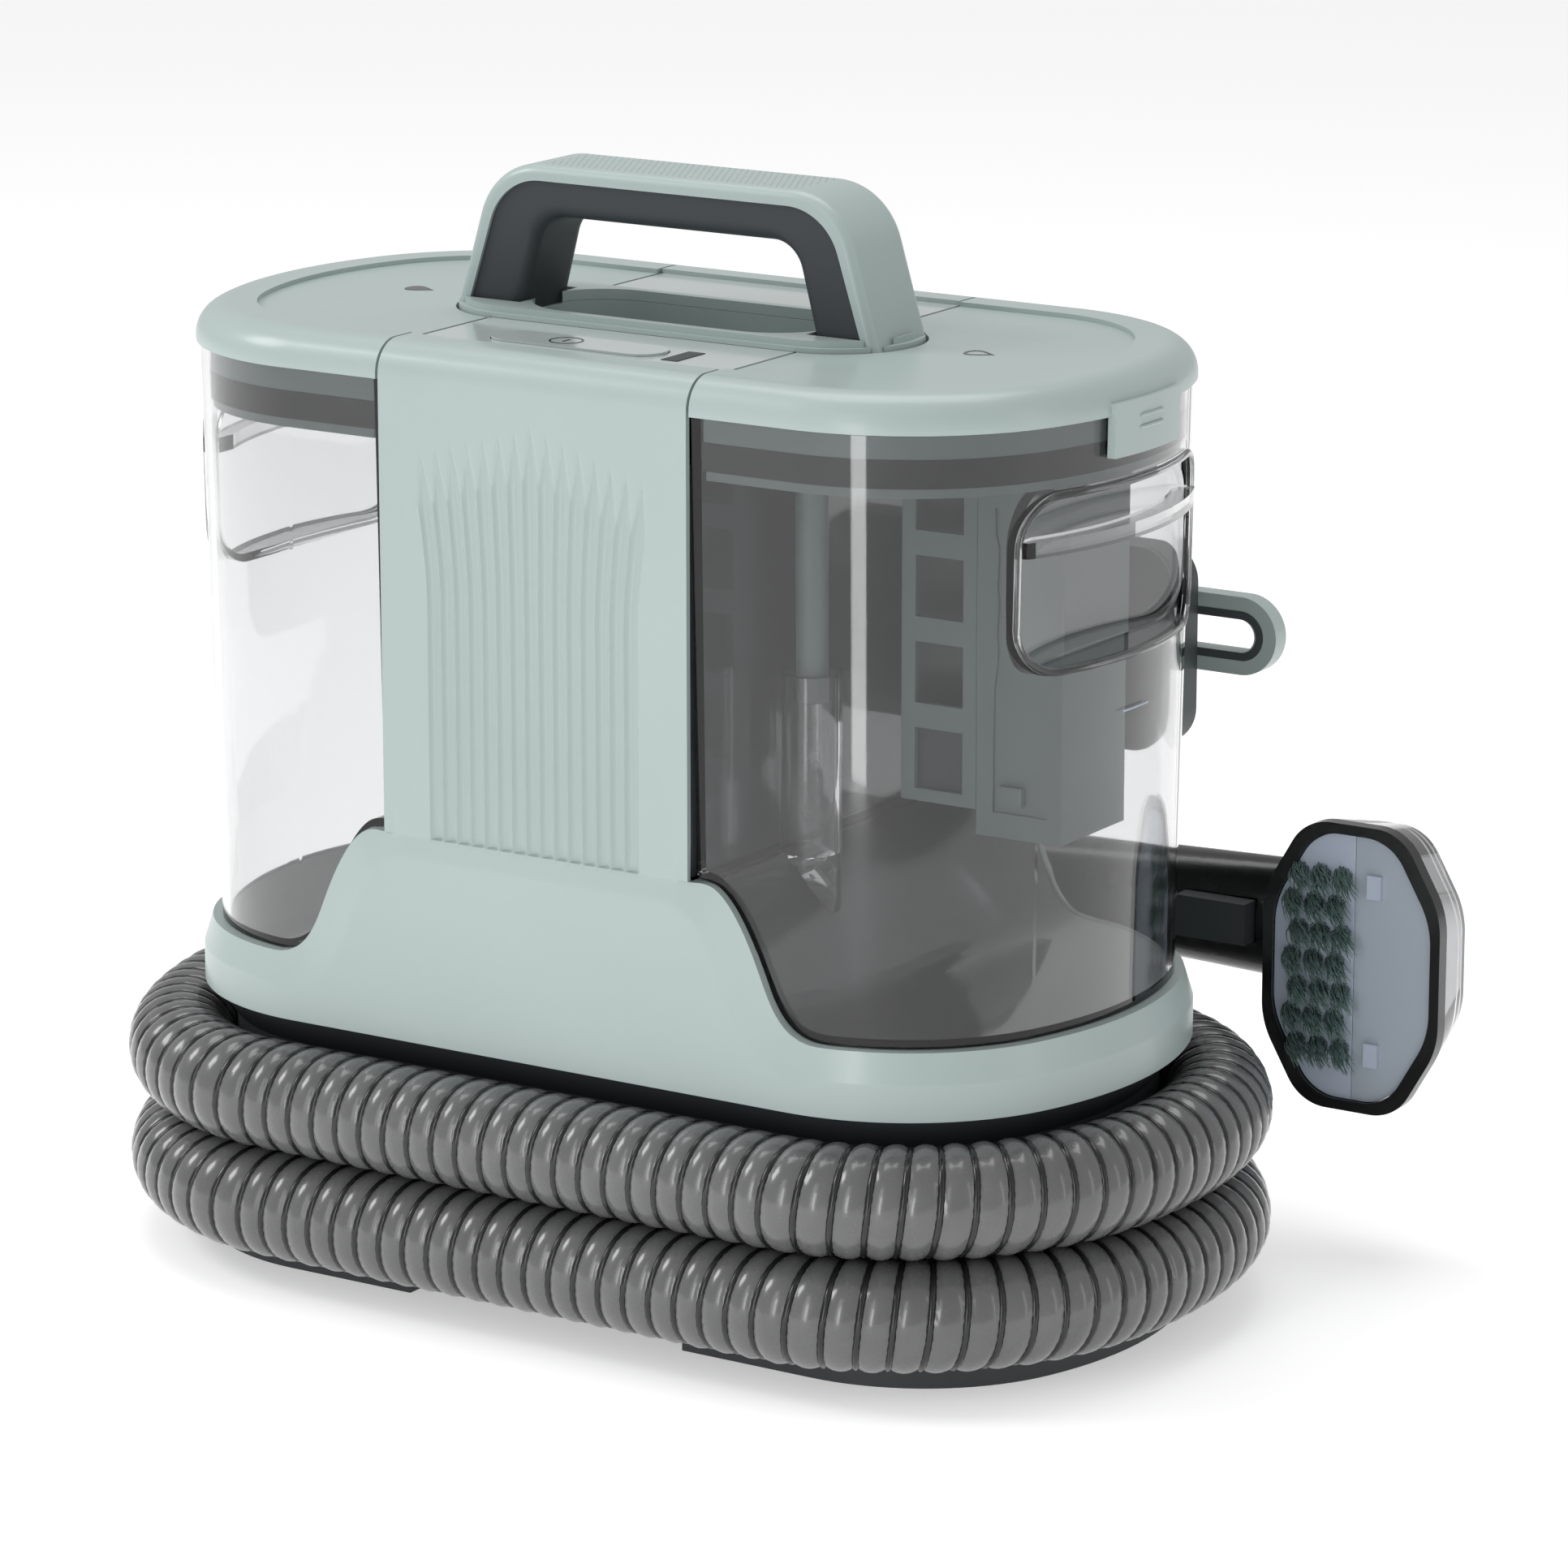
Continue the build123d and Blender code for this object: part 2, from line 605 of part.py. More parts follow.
pump_half, pump_deep, pump_high, spout_z = 24.0, 14.0, 34.0, case_foot + 18
pump_end = pump_x + pump_half
pump = block(
    pump_x - pump_half, pump_end, pump_y - pump_deep, pump_y + pump_deep, case_foot, case_foot + pump_high
)
pump += rod((pump_end, pump_y, spout_z), (pump_end + 10, pump_y, spout_z), 4)
nodes["solution_pump"] = pump

riser_pipe_y = 55.0
duct = rod((port_x, riser_pipe_y, ledge_top + 2), (port_x, riser_pipe_y, chassis_low - 1), port_radius)
duct -= rod((port_x, riser_pipe_y, ledge_top + 4), (port_x, riser_pipe_y, far), port_bore)
bend = 18.0
hose_offset = hose_radius + hose_clear - drum_inset     # centreline outside the body's outline
port_y = body_width / 2 + hose_offset
elbow_path = FilletPolyline(
    (port_x, riser_pipe_y + port_bore, first_turn), (port_x, port_y, first_turn),
    (port_x + bend + 16, port_y, first_turn), radius=bend,
)
elbow = sweep(Plane(origin=elbow_path @ 0, z_dir=elbow_path % 0) * Circle(port_radius), path=elbow_path)
elbow_bore = sweep(Plane(origin=elbow_path @ 0, z_dir=elbow_path % 0) * Circle(port_bore), path=elbow_path)
duct -= rod((port_x, riser_pipe_y, first_turn), (port_x, far, first_turn), port_bore)
pipe_way = rod((port_x, riser_pipe_y, 0), (port_x, riser_pipe_y, far), port_bore)
nodes["hose_port"] = duct + (elbow - pipe_way) - elbow_bore

# ---------------------------------------------------------------- suction hose
second_turn = first_turn + 2 * hose_radius + turn_gap
side_bow = 1.4
facets = (90, 60, 30, 0)


def support(angle):
    """How far the hose's centreline stands from the origin, along a direction in plan."""
    if angle < join_angle:
        return bulge_x * cos(radians(angle)) + end_radius + hose_offset
    return (corner_x * cos(radians(angle)) + corner_y * sin(radians(angle))) + corner_radius + hose_offset


def quarter():
    """Corners of the route from the back side to the right end."""
    corners = []
    for a, b in zip(facets, facets[1:]):
        turn = sin(radians(b - a))
        x = (support(a) * sin(radians(b)) - support(b) * sin(radians(a))) / turn
        y = (support(b) * cos(radians(a)) - support(a) * cos(radians(b))) / turn
        corners.append((x, y))
    return corners


def turn_points(z):
    """One turn, clockwise from above, from the back right round to the back left."""
    right = quarter()
    side = right[0][1] + side_bow
    end = right + [(x, -y) for x, y in reversed(right)]
    front = [(45, -side), (-45, -side)]
    other = [(-x, y) for x, y in reversed(end)]
    return [(x, y, z) for x, y in end + front + other]


cuff_x = port_x + bend + 6
hose_start = cuff_x + 14
first = turn_points(first_turn)
second = turn_points(second_turn)
climb = [
    (first[-3][0] - 1, first[-3][1], first_turn + 1),
    (first[-2][0], first[-2][1] + 1, first_turn + 5),
    (first[-1][0], first[-1][1] + 1, first_turn + 16),
    (-44.0, first[-1][1] + 2.5, second_turn + 1.0),
    (40.0, first[-1][1] + 1.5, second_turn + 0.4),
]
rise = [
    (-body_length / 2 - 16.5, 32.0, second_turn + 1.5),
    (-body_length / 2 - 1.0, tool_y - 44.0, 84.0),
    (-126.0, tool_y, tool_z),
]
tail_cuff = tool_tail - 22.0
hose_points = [(hose_start, port_y, first_turn)] + first[:-3] + climb
hose_points += second[:-3] + rise + [(tail_cuff, tool_y, tool_z)]
hose_vectors = [Vector(*p) for p in hose_points]
hose_runs = [(b - a).length for a, b in zip(hose_vectors, hose_vectors[1:])]
hose_radii = []
for before, here, after, run_in, run_out in zip(
    hose_vectors, hose_vectors[1:], hose_vectors[2:], hose_runs, hose_runs[1:]
):
    turn = (here - before).get_angle(after - here)
    hose_radii.append(0.45 * min(run_in, run_out) / tan(radians(turn) / 2))
hose_path = FilletPolyline(*hose_vectors, radius=hose_radii)
hose_end = Plane(origin=hose_path @ 0, z_dir=hose_path % 0)
hose = sweep(hose_end * (Circle(hose_radius) - Circle(hose_bore)), path=hose_path)
section = pi * (hose_radius ** 2 - hose_bore ** 2)
print("hose radii", [round(r) for r in hose_radii])
print("hose length", round(hose_path.length), "volume over section times length",
      round(hose.volume / (section * hose_path.length), 4))
nodes["suction_hose"] = hose

cuff = rod((cuff_x, port_y, first_turn), (hose_start, port_y, first_turn), hose_radius - 0.2)
cuff_bore = rod((cuff_x - 1, port_y, first_turn), (far, port_y, first_turn), port_radius + 0.3)
nodes["hose_cuff_machine"] = cuff - cuff_bore
tail = rod((tail_cuff, tool_y, tool_z), (tool_tail, tool_y, tool_z), tool_radius + cuff_wall)
tail_bore = rod((tail_cuff - 1, tool_y, tool_z), (tool_tail + 1, tool_y, tool_z), tool_radius - 2)
nodes["hose_cuff_tool"] = tail - tail_bore

# ---------------------------------------------------------------- rear bracket and hooks
bracket_low, bracket_high, bracket_half = 168.0, 236.0, 130.0
bracket_y = body_width / 2
bracket_thick, pouch_inner, pouch_depth = 3.0, 92.0, 14.0
bracket = block(-bracket_half, bracket_half, bracket_y, bracket_y + bracket_thick, bracket_low, bracket_high)
bracket = fillet(bracket.edges().filter_by(Axis.Y), 14)
pouch = block(pouch_inner, bracket_half, bracket_y + 2, bracket_y + pouch_depth, bracket_low, bracket_high)
pouch = fillet(pouch.edges().filter_by(Axis.Y), 13)
grille_window = block(-36, 36, 0, far, 200, 248)
nodes["rear_bracket"] = bracket + pouch + mirrored(pouch) - grille_window


def loop_hook():
    """A flat loop that stands out sideways behind the machine, slotted for the cord."""
    length, height, thick, slot_width, middle = 62.0, 26.0, 7.0, 11.0, 207.0
    bar = extrude(Plane.XZ * SlotOverall(length, height), thick, both=False)
    slot = extrude(Plane.XZ * SlotOverall(length - 16, slot_width), 3 * thick, both=True)
    return Pos(bracket_half - 2, bracket_y + pouch_depth + thick, middle) * (bar - slot)


nodes["loop_hook_right"] = loop_hook()
nodes["loop_hook_left"] = mirrored(nodes["loop_hook_right"])

cradle_y = body_width / 2 + skirt_proud
hose_over = second_turn + hose_radius + 1
clip_wall, clip_grip = 2.6, 10.0
cradle_half, clip_x = 52.0, 40.0
cradle = block(-cradle_half, cradle_half, cradle_y, cradle_y + 3, hose_over + 2, hump_top - 8)
for x in (-clip_x, clip_x):
    cradle += rod((x - 6, tool_y, tool_z), (x + 6, tool_y, tool_z), tool_radius + gap + clip_wall)
    cradle += block(x - 6, x + 6, cradle_y, tool_y - tool_radius, tool_z - 10, tool_z + 12)
cradle -= rod((-far, tool_y, tool_z), (far, tool_y, tool_z), tool_radius + gap)
cradle -= block(-far, far, tool_y + clip_grip, far, 0, far) + block(-far, far, 0, far, 0, hose_over)
nodes["tool_cradle"] = cradle - block(-far, far, tool_y, far, 0, tool_z)

# ---------------------------------------------------------------- hand tool
def head_outline(grow, y, left=head_left, right=head_right):
    """The brush head's rounded six-sided rim, as a face that looks to the front."""
    x0, x1 = head_left - grow, head_right + grow
    z0, z1 = head_low - grow, head_high + grow
    bevel_x, bevel_z = 15.0, 26.0
    pts = [
        (x0 + bevel_x, z0), (x1 - bevel_x, z0), (x1, z0 + bevel_z), (x1, z1 - bevel_z),
        (x1 - bevel_x, z1), (x0 + bevel_x, z1), (x0, z1 - bevel_z), (x0, z0 + bevel_z),
    ]
    face = make_face(Polyline(*pts, close=True))
    flat_corners = [v for v in face.vertices() if abs(v.Y - z0) < 0.01 or abs(v.Y - z1) < 0.01]
    face = fillet(flat_corners, 16)
    side_corners = [v for v in face.vertices() if abs(v.X - x0) < 0.01 or abs(v.X - x1) < 0.01]
    face = fillet(side_corners, 28)
    return Plane(origin=(0, y, 0), x_dir=(1, 0, 0), z_dir=(0, -1, 0)) * face


def head_solid(grow, y0, y1, grow_back=None):
    back = grow if grow_back is None else grow_back
    return loft([head_outline(grow, y0), head_outline(back, y1)], ruled=True)


rim_depth = 5.0
rim_wall = 3.5
frame_back = head_face + rim_depth
rim_hole = head_solid(-rim_wall, head_face - 1, frame_back + 1)
nodes["head_frame"] = head_solid(0, head_face, frame_back) - rim_hole
dome_wall = 2.0
dome_taper = 5.0
dome = head_solid(0, frame_back, head_back, -dome_taper)
dome_bore = head_solid(-dome_wall, frame_back, head_back - dome_wall, -dome_taper - dome_wall)
neck_x = head_left + 14
neck_start = 62.0
grip_bar = rod((tool_tail, tool_y, tool_z), (neck_start, tool_y, tool_z), tool_radius)
neck_back = Plane(origin=(neck_start, tool_y, tool_z), z_dir=(1, 0, 0)) * Circle(tool_radius)
neck_front = Plane(origin=(neck_x, tool_y, tool_z), x_dir=(0, 1, 0), z_dir=(1, 0, 0)) * Ellipse(12, 21)
neck = loft([neck_back.face(), neck_front.face()], ruled=True)
tool_bore = rod((tool_tail - 1, tool_y, tool_z), (neck_x + 1, tool_y, tool_z), 11)
left_half = block(0, head_divide, -far, far, 0, far)
trigger_x, trigger_half, trigger_z, trigger_high = head_left - 19.0, 13.0, tool_z + 1.0, 7.0
trigger_seat = block(
    trigger_x - trigger_half - gap, trigger_x + trigger_half + gap, 0, tool_y - 6,
    trigger_z - trigger_high - gap, trigger_z + trigger_high + gap,
)
body = grip_bar + neck - dome_bore + ((dome - dome_bore) & left_half) - tool_bore - trigger_seat
nodes["tool_body"] = body
nodes["nozzle_hood"] = (dome - dome_bore) & (block(head_divide + 0.2, far, -far, far, 0, far))
trigger_travel = 3.0
nodes["tool_trigger"] = block(
    trigger_x - trigger_half, trigger_x + trigger_half, tool_y - 20, tool_y - 12.5,
    trigger_z - trigger_high, trigger_z + trigger_high,
)
plate_y = head_face + 1.5
inner_rim = head_solid(-rim_wall - 0.2, plate_y, plate_y + 2.5)
nodes["brush_plate"] = inner_rim & left_half
nodes["nozzle_window"] = inner_rim & block(head_divide + 0.2, far, -far, far, 0, far)

tuft_rows, tuft_columns, tuft_radius, tuft_length = 7, 3, 3.2, 9.0
row_pitch, column_pitch, stagger = 9.7, 8.0, 2.3
tufts = []
for row in range(tuft_rows):
    z = (head_low + head_high) / 2 + (row - (tuft_rows - 1) / 2) * row_pitch
    for column in range(tuft_columns):
        x = head_left + 11 + column * column_pitch + (1 - row % 2) * stagger
        tufts.append(rod((x, plate_y - tuft_length, z), (x, plate_y, z), tuft_radius))
nodes["bristle_tufts"] = Compound(children=tufts)

clips = [
    block(head_divide + 5, head_divide + 10, plate_y - 1.6, plate_y, z - 4, z + 4)
    for z in (head_low + 20, head_high - 20)
]
nodes["nozzle_clips"] = Compound(children=clips)
spray_x = head_divide - 3
nodes["spray_tip"] = (
    rod((spray_x - 2, plate_y + 2.5, head_high - 12), (spray_x - 2, plate_y + 9, head_high - 12), 3)
)

# ---------------------------------------------------------------- screws
screws = []
for x in (-20, 20):
    for z in (100, 140):
        screws.append(rod((x, cradle_y + 3, z), (x, cradle_y + 5, z), 3))
for x in (-50, 50):
    for z in (176, 190):
        screws.append(rod((x, bracket_y + 3, z), (x, bracket_y + 5, z), 3))
nodes["bracket_screws"] = Compound(children=screws)


os.makedirs("parts", exist_ok=True)
for name, part in nodes.items():
    export_step(part, f"parts/{name}.step")
print(len(nodes), "nodes")
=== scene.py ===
"""Looks for the portable carpet cleaner: shells, clear tanks, ribbed hose, brush tool and their finishes.

Metres. X runs along the machine towards the clean tank, Y to the back, Z up.
"""
import json
from math import asin, cos, pi, radians, sin, sqrt

import bmesh
import bpy
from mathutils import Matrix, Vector


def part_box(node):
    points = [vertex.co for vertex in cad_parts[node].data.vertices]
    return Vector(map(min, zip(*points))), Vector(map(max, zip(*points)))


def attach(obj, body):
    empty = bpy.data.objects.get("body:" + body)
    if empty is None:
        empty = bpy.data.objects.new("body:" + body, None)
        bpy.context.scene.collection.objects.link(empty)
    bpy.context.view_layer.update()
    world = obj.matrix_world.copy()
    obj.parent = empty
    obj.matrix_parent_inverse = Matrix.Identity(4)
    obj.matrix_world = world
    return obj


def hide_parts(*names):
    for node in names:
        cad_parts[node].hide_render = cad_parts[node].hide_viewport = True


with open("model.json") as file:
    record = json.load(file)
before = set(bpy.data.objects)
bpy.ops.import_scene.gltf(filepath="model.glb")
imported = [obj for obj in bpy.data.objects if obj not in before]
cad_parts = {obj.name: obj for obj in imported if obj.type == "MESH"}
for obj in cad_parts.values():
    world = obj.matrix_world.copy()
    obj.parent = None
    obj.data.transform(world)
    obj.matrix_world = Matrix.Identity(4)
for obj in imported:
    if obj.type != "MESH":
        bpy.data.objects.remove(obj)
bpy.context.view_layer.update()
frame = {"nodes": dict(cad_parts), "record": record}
nodes = frame["nodes"]
MM = 0.001


# ---------------------------------------------------------------- camera, light and floor
def aim(thing, place, target):
    """Turn a camera or lamp at place so that it looks at target."""
    thing.location = place
    thing.rotation_euler = (Vector(target) - Vector(place)).to_track_quat("-Z", "Y").to_euler()


def add_camera():
    data = bpy.data.cameras.new("camera")
    data.sensor_width = 36
    data.lens = 150.93
    camera = bpy.data.objects.new("camera", data)
    bpy.context.scene.collection.objects.link(camera)
    aim(camera, (1.1454, -1.7345, 0.6828), (0.036035, 0, 0.164515))
    bpy.context.scene.camera = camera


def add_lamp(name, place, size, power, target=(0, 0, 0.17), tint=(1, 1, 1)):
    data = bpy.data.lights.new(name, "AREA")
    data.shape = "RECTANGLE"
    data.size, data.size_y = size
    data.energy = power
    data.color = tint
    lamp = bpy.data.objects.new(name, data)
    bpy.context.scene.collection.objects.link(lamp)
    aim(lamp, place, target)


def add_studio():
    """A white room: the ground glows a little so that it stays white round the soft shadow."""
    bpy.context.scene.view_settings.view_transform = "Standard"
    world = bpy.data.worlds.new("studio")
    bpy.context.scene.world = world
    world.use_nodes = True
    sky = world.node_tree.nodes["Background"]
    sky.inputs["Color"].default_value = (1, 1, 1, 1)
    sky.inputs["Strength"].default_value = 0.52
    add_lamp("front_strip", (0.05, -1.75, 0.75), (0.45, 1.5), 4)
    add_lamp("key_left", (-1.7, -0.9, 1.6), (0.8, 0.8), 16)
    add_lamp("top_soft", (-0.2, 0.3, 1.9), (1.5, 1.0), 14)
    add_lamp("right_strip", (1.9, 0.2, 0.7), (0.25, 1.4), 2)
    add_lamp("tank_glint", (0.17, -0.75, 0.2), (0.10, 0.4), 0.7)
    bpy.ops.mesh.primitive_plane_add(size=14)
    floor = bpy.context.object
    floor.name = "floor"
    graph = Graph("floor_white")
    graph.surface(base=(0.86, 0.86, 0.86), roughness=0.7, emission_color=(1, 1, 1, 1), emission_strength=0.42)
    floor.data.materials.append(graph.material)


# ---------------------------------------------------------------- shader maths
class Value:
    """A shader output that can stand in a sum."""

    def __init__(self, graph, socket):
        self.graph, self.socket = graph, socket

    def math(self, operation, other=0.0, swap=False):
        first, second = (other, self) if swap else (self, other)
        return self.graph.node("ShaderNodeMath", {"operation": operation}, {0: first, 1: second})

    def __add__(self, other):
        return self.math("ADD", other)

    def __sub__(self, other):
        return self.math("SUBTRACT", other)

    def __rsub__(self, other):
        return self.math("SUBTRACT", other, True)

    def __mul__(self, other):
        return self.math("MULTIPLY", other)

    def __gt__(self, other):
        return self.math("GREATER_THAN", other)

    def __lt__(self, other):
        return self.math("LESS_THAN", other)

    __radd__, __rmul__ = __add__, __mul__


class Graph:
    """One material's node tree, built by calls."""

    def __init__(self, name):
        self.material = bpy.data.materials.new(name)
        self.material.use_nodes = True
        self.tree = self.material.node_tree
        self.tree.nodes.clear()
        self.place = self.node("ShaderNodeTexCoord", {}, {}, "Object")

    def node(self, kind, settings, inputs, output=0):
        made = self.tree.nodes.new(kind)
        for key, value in settings.items():
            if key == "stops":
                ramp = made.color_ramp.elements
                for at, grey in value[2:]:
                    ramp.new(at)
                for element, (at, grey) in zip(ramp, sorted(value)):
                    element.position, element.color = at, (grey, grey, grey, 1)
            else:
                setattr(made, key, value)
        for key, value in inputs.items():
            if isinstance(value, Value):
                self.tree.links.new(value.socket, made.inputs[key])
            else:
                made.inputs[key].default_value = value
        return Value(self, made.outputs[output])

    def noise(self, scale, detail=2.0, stretch=(1, 1, 1)):
        place = self.node("ShaderNodeMapping", {}, {"Vector": self.place, "Scale": stretch})
        return self.node("ShaderNodeTexNoise", {}, {"Vector": place, "Scale": scale, "Detail": detail})

    def mix(self, share, first, second):
        """A colour between two colours."""
        return self.node(
            "ShaderNodeMix", {"data_type": "RGBA"},
            {"Factor": share, "A": (*first, 1) if isinstance(first, tuple) else first,
             "B": (*second, 1) if isinstance(second, tuple) else second}, "Result",
        )

    def bump(self, height, distance, strength=1.0):
        return self.node("ShaderNodeBump", {}, {"Height": height, "Distance": distance, "Strength": strength})

    def surface(self, base=None, normal=None, **settings):
        inputs = {key.replace("_", " ").title(): value for key, value in settings.items()}
        inputs["IOR"] = inputs.pop("Ior", 1.47)
        if base is not None:
            inputs["Base Color"] = (*base, 1) if isinstance(base, tuple) else base
        if normal is not None:
            inputs["Normal"] = normal
        shader = self.node("ShaderNodeBsdfPrincipled", {}, inputs)
        end = self.tree.nodes.new("ShaderNodeOutputMaterial")
        self.tree.links.new(shader.socket, end.inputs["Surface"])
        return self.material


# ---------------------------------------------------------------- finishes
def moulded(name, colour, roughness, grain=0.02, depth=0.00006, coat=0.0, drift=0.05):
    """Injection-moulded plastic: a fine spark-eroded grain, faint cloudiness and smudges in the gloss."""
    graph = Graph(name)
    cloud = graph.noise(14.0, 4.0)
    darker = tuple(c * (1 - drift) for c in colour)
    lighter = tuple(min(1, c * (1 + drift)) for c in colour)
    smudge = graph.noise(60.0, 3.0)
    fine = graph.noise(2600.0, 2.0)
    return graph.surface(
        base=graph.mix(cloud, darker, lighter),
        roughness=roughness + (smudge - 0.5) * 0.12,
        normal=graph.bump(fine, depth, grain * 10),
        coat_weight=coat,
        coat_roughness=0.12,
    )


def clear_plastic(name, colour, roughness=0.03, ior=1.46, streak=0.00005):
    """Clear moulded wall, with the slow ripple that moulding leaves."""
    graph = Graph(name)
    ripple = graph.noise(22.0, 1.5, (1, 1, 0.35))
    return graph.surface(
        base=colour, roughness=roughness, ior=ior, transmission_weight=1.0,
        normal=graph.bump(ripple, streak, 0.6),
    )


SAGE = (0.385, 0.462, 0.447)
finishes = {
    "sage": moulded("sage", SAGE, 0.34, coat=0.12),
    "deck": moulded("deck", (0.47, 0.53, 0.52), 0.16, grain=0.003, coat=0.6),
    "dark_grey": moulded("dark_grey", (0.034, 0.039, 0.043), 0.48, grain=0.012),
    "mid_grey": moulded("mid_grey", (0.052, 0.061, 0.064), 0.5, grain=0.012),
    "grey_green": moulded("grey_green", (0.185, 0.225, 0.225), 0.42),
    "black": moulded("black", (0.007, 0.0075, 0.008), 0.27, grain=0.006, coat=0.35),
    "rubber": moulded("rubber", (0.02, 0.021, 0.023), 0.6, grain=0.01),
    "white_blue": moulded("white_blue", (0.44, 0.50, 0.60), 0.3),
    "frosted": moulded("frosted", (0.36, 0.41, 0.47), 0.45),
    "board": moulded("board", (0.02, 0.10, 0.05), 0.4),
    "bristle": moulded("bristle", (0.135, 0.215, 0.195), 0.55, drift=0.45),
    "clear": clear_plastic("clear", (0.82, 0.825, 0.83)),
    "smoke_clear": clear_plastic("smoke_clear", (0.74, 0.75, 0.77)),
}


def steel():
    graph = Graph("steel")
    brushed = graph.noise(300.0, 2.0, (1, 1, 12))
    return graph.surface(base=(0.5, 0.5, 0.52), metallic=1.0, roughness=0.28 + brushed * 0.15)


finishes["steel"] = steel()


def hose_plastic():
    """Smoky translucent wall of the hose, its tone drifting at random in soft clouds."""
    graph = Graph("hose_smoke")
    cloud = graph.noise(45.0, 4.0)
    fine = graph.noise(420.0, 3.0)
    return graph.surface(
        base=graph.mix(cloud, (0.085, 0.086, 0.088), (0.15, 0.151, 0.153)),
        roughness=0.2 + fine * 0.12, coat_weight=0.5, coat_roughness=0.1,
        normal=graph.bump(fine, 0.00002, 0.15),
    )


finishes["hose"] = hose_plastic()


def set_finish(piece, slot):
    piece.data.materials.clear()
    piece.data.materials.append(finishes[slot])


LOOKS = {"nozzle_window": "frosted"}


def dress_nodes():
    """Every CAD node takes the finish of its own slot, unless LOOKS names another for it."""
    for row in frame["record"]["subparts"]:
        piece = nodes[row["node"]]
        for place in piece.material_slots:
            place.material = finishes[LOOKS.get(row["node"], row["material_slot"])]


# ---------------------------------------------------------------- plan outline
lid_low, lid_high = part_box("clean_lid")
HALF_LENGTH = 0.169
HALF_WIDTH = (lid_high.y - lid_low.y) / 2
CORNER, BULGE = 0.070, 0.125
corner_y = HALF_WIDTH - CORNER
corner_x = HALF_LENGTH - BULGE + sqrt((BULGE - CORNER) ** 2 - corner_y ** 2)
bulge_x = HALF_LENGTH - BULGE
join = asin(corner_y / (BULGE - CORNER))


def half_width(x, inset=0.0):
    """How far the outline, moved inwards, reaches in Y at x."""
    x = abs(x)
    if x <= corner_x:
        return HALF_WIDTH - inset
    bulge, corner = BULGE - inset, CORNER - inset
    if x >= bulge_x + bulge * cos(join):
        return sqrt(max(bulge ** 2 - (x - bulge_x) ** 2, 0.0))
    return corner_y + sqrt(max(corner ** 2 - (x - corner_x) ** 2, 0.0))


def end_points(inset, steps):
    """Points round the right end, from the front side to the back side."""
    corner, bulge = CORNER - inset, BULGE - inset
    points = []
    for step in range(steps + 1):
        angle = -pi / 2 + pi * step / steps
        if angle < -join:
            points.append((corner_x + corner * cos(angle), -corner_y + corner * sin(angle)))
        elif angle > join:
            points.append((corner_x + corner * cos(angle), corner_y + corner * sin(angle)))
        else:
            points.append((bulge_x + bulge * cos(angle), bulge * sin(angle)))
    return points


# ---------------------------------------------------------------- mesh helpers
def mesh_piece(name, points, faces, slot=None, body=None, smooth=True):
    mesh = bpy.data.meshes.new(name)
    mesh.from_pydata([tuple(p) for p in points], [], faces)
    mesh.validate()
    piece = bpy.data.objects.new(name, mesh)
    bpy.context.scene.collection.objects.link(piece)
    for polygon in mesh.polygons:
        polygon.use_smooth = smooth
    if slot:
        set_finish(piece, slot)
    if body:
        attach(piece, body)
    return piece


def grid_faces(columns, rows, closed=False, start=0):
    """Quads over a grid of points stored row by row."""
    faces = []
    for r in range(rows - 1):
        for c in range(columns if closed else columns - 1):
            a, b = start + r * columns + c, start + r * columns + (c + 1) % columns
            faces.append((a, b, b + columns, a + columns))
    return faces


def tidy(piece, merge=1e-6, flip=True):
    """Merge doubles and point the faces outwards."""
    work = bmesh.new()
    work.from_mesh(piece.data)
    bmesh.ops.remove_doubles(work, verts=work.verts, dist=merge)
    if flip:
        bmesh.ops.recalc_face_normals(work, faces=work.faces)
    work.to_mesh(piece.data)
    work.free()


def apply_modifiers(piece):
    """Turn the modified shape into the piece's plain mesh."""
    deps = bpy.context.evaluated_depsgraph_get()
    mesh = bpy.data.meshes.new_from_object(piece.evaluated_get(deps))
    piece.modifiers.clear()
    piece.data = mesh


# ---------------------------------------------------------------- housing
BAND_DEPTH = 3.0 * MM
SKIRT_PROUD = 1.5 * MM
STRIP_HALF = 58.0 * MM
SHELL_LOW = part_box("housing_shell")[0].z
SHELL_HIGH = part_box("housing_shell")[1].z
SHOULDER = 10.5 * MM
DECK_FRONT = -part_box("top_deck")[0].y
FLUTE_FOOT = 155.0 * MM
FLUTES = 15
FLUTE_PITCH, FLUTE_PITCH_TOP = 5.33 * MM, 6.05 * MM
FLUTE_DEPTH = 1.5 * MM
FLUTE_TIP = 17.0 * MM


def clamp(value, low=0.0, high=1.0):
    return max(low, min(high, value))


def smooth(value):
    share = clamp(value)
    return share * share * (3 - 2 * share)


def read_hump():
    """The hump's edge as (x, z) points, from the upper corners of the CAD shell right of the strip."""
    corners = {
        (round(v.co.x, 5), round(v.co.z, 5))
        for v in nodes["housing_shell"].data.vertices if v.co.x >= STRIP_HALF - 1e-5
    }
    corners = {(x, z) for x, z in corners if z < FLUTE_FOOT + 1.2 * MM}
    edge = []
    highest = 0.0
    for x, z in sorted(corners, reverse=True):
        if z > highest - 1e-6:
            edge.append((x, z))
            highest = max(highest, z)
    return sorted(edge)


HUMP = read_hump()


def hump(x):
    """Height of the hump's edge at x, the same on both sides."""
    x = abs(x)
    if x <= HUMP[0][0]:
        return min(HUMP[0][1], FLUTE_FOOT)
    for (x0, z0), (x1, z1) in zip(HUMP, HUMP[1:]):
        if x <= x1:
            share = (x - x0) / (x1 - x0) if x1 > x0 else 0
            return min(z0 + (z1 - z0) * share, FLUTE_FOOT)
    return HUMP[-1][1]


EDGE_LINE = [(step * MM * 1.5, hump(step * MM * 1.5)) for step in range(116)]


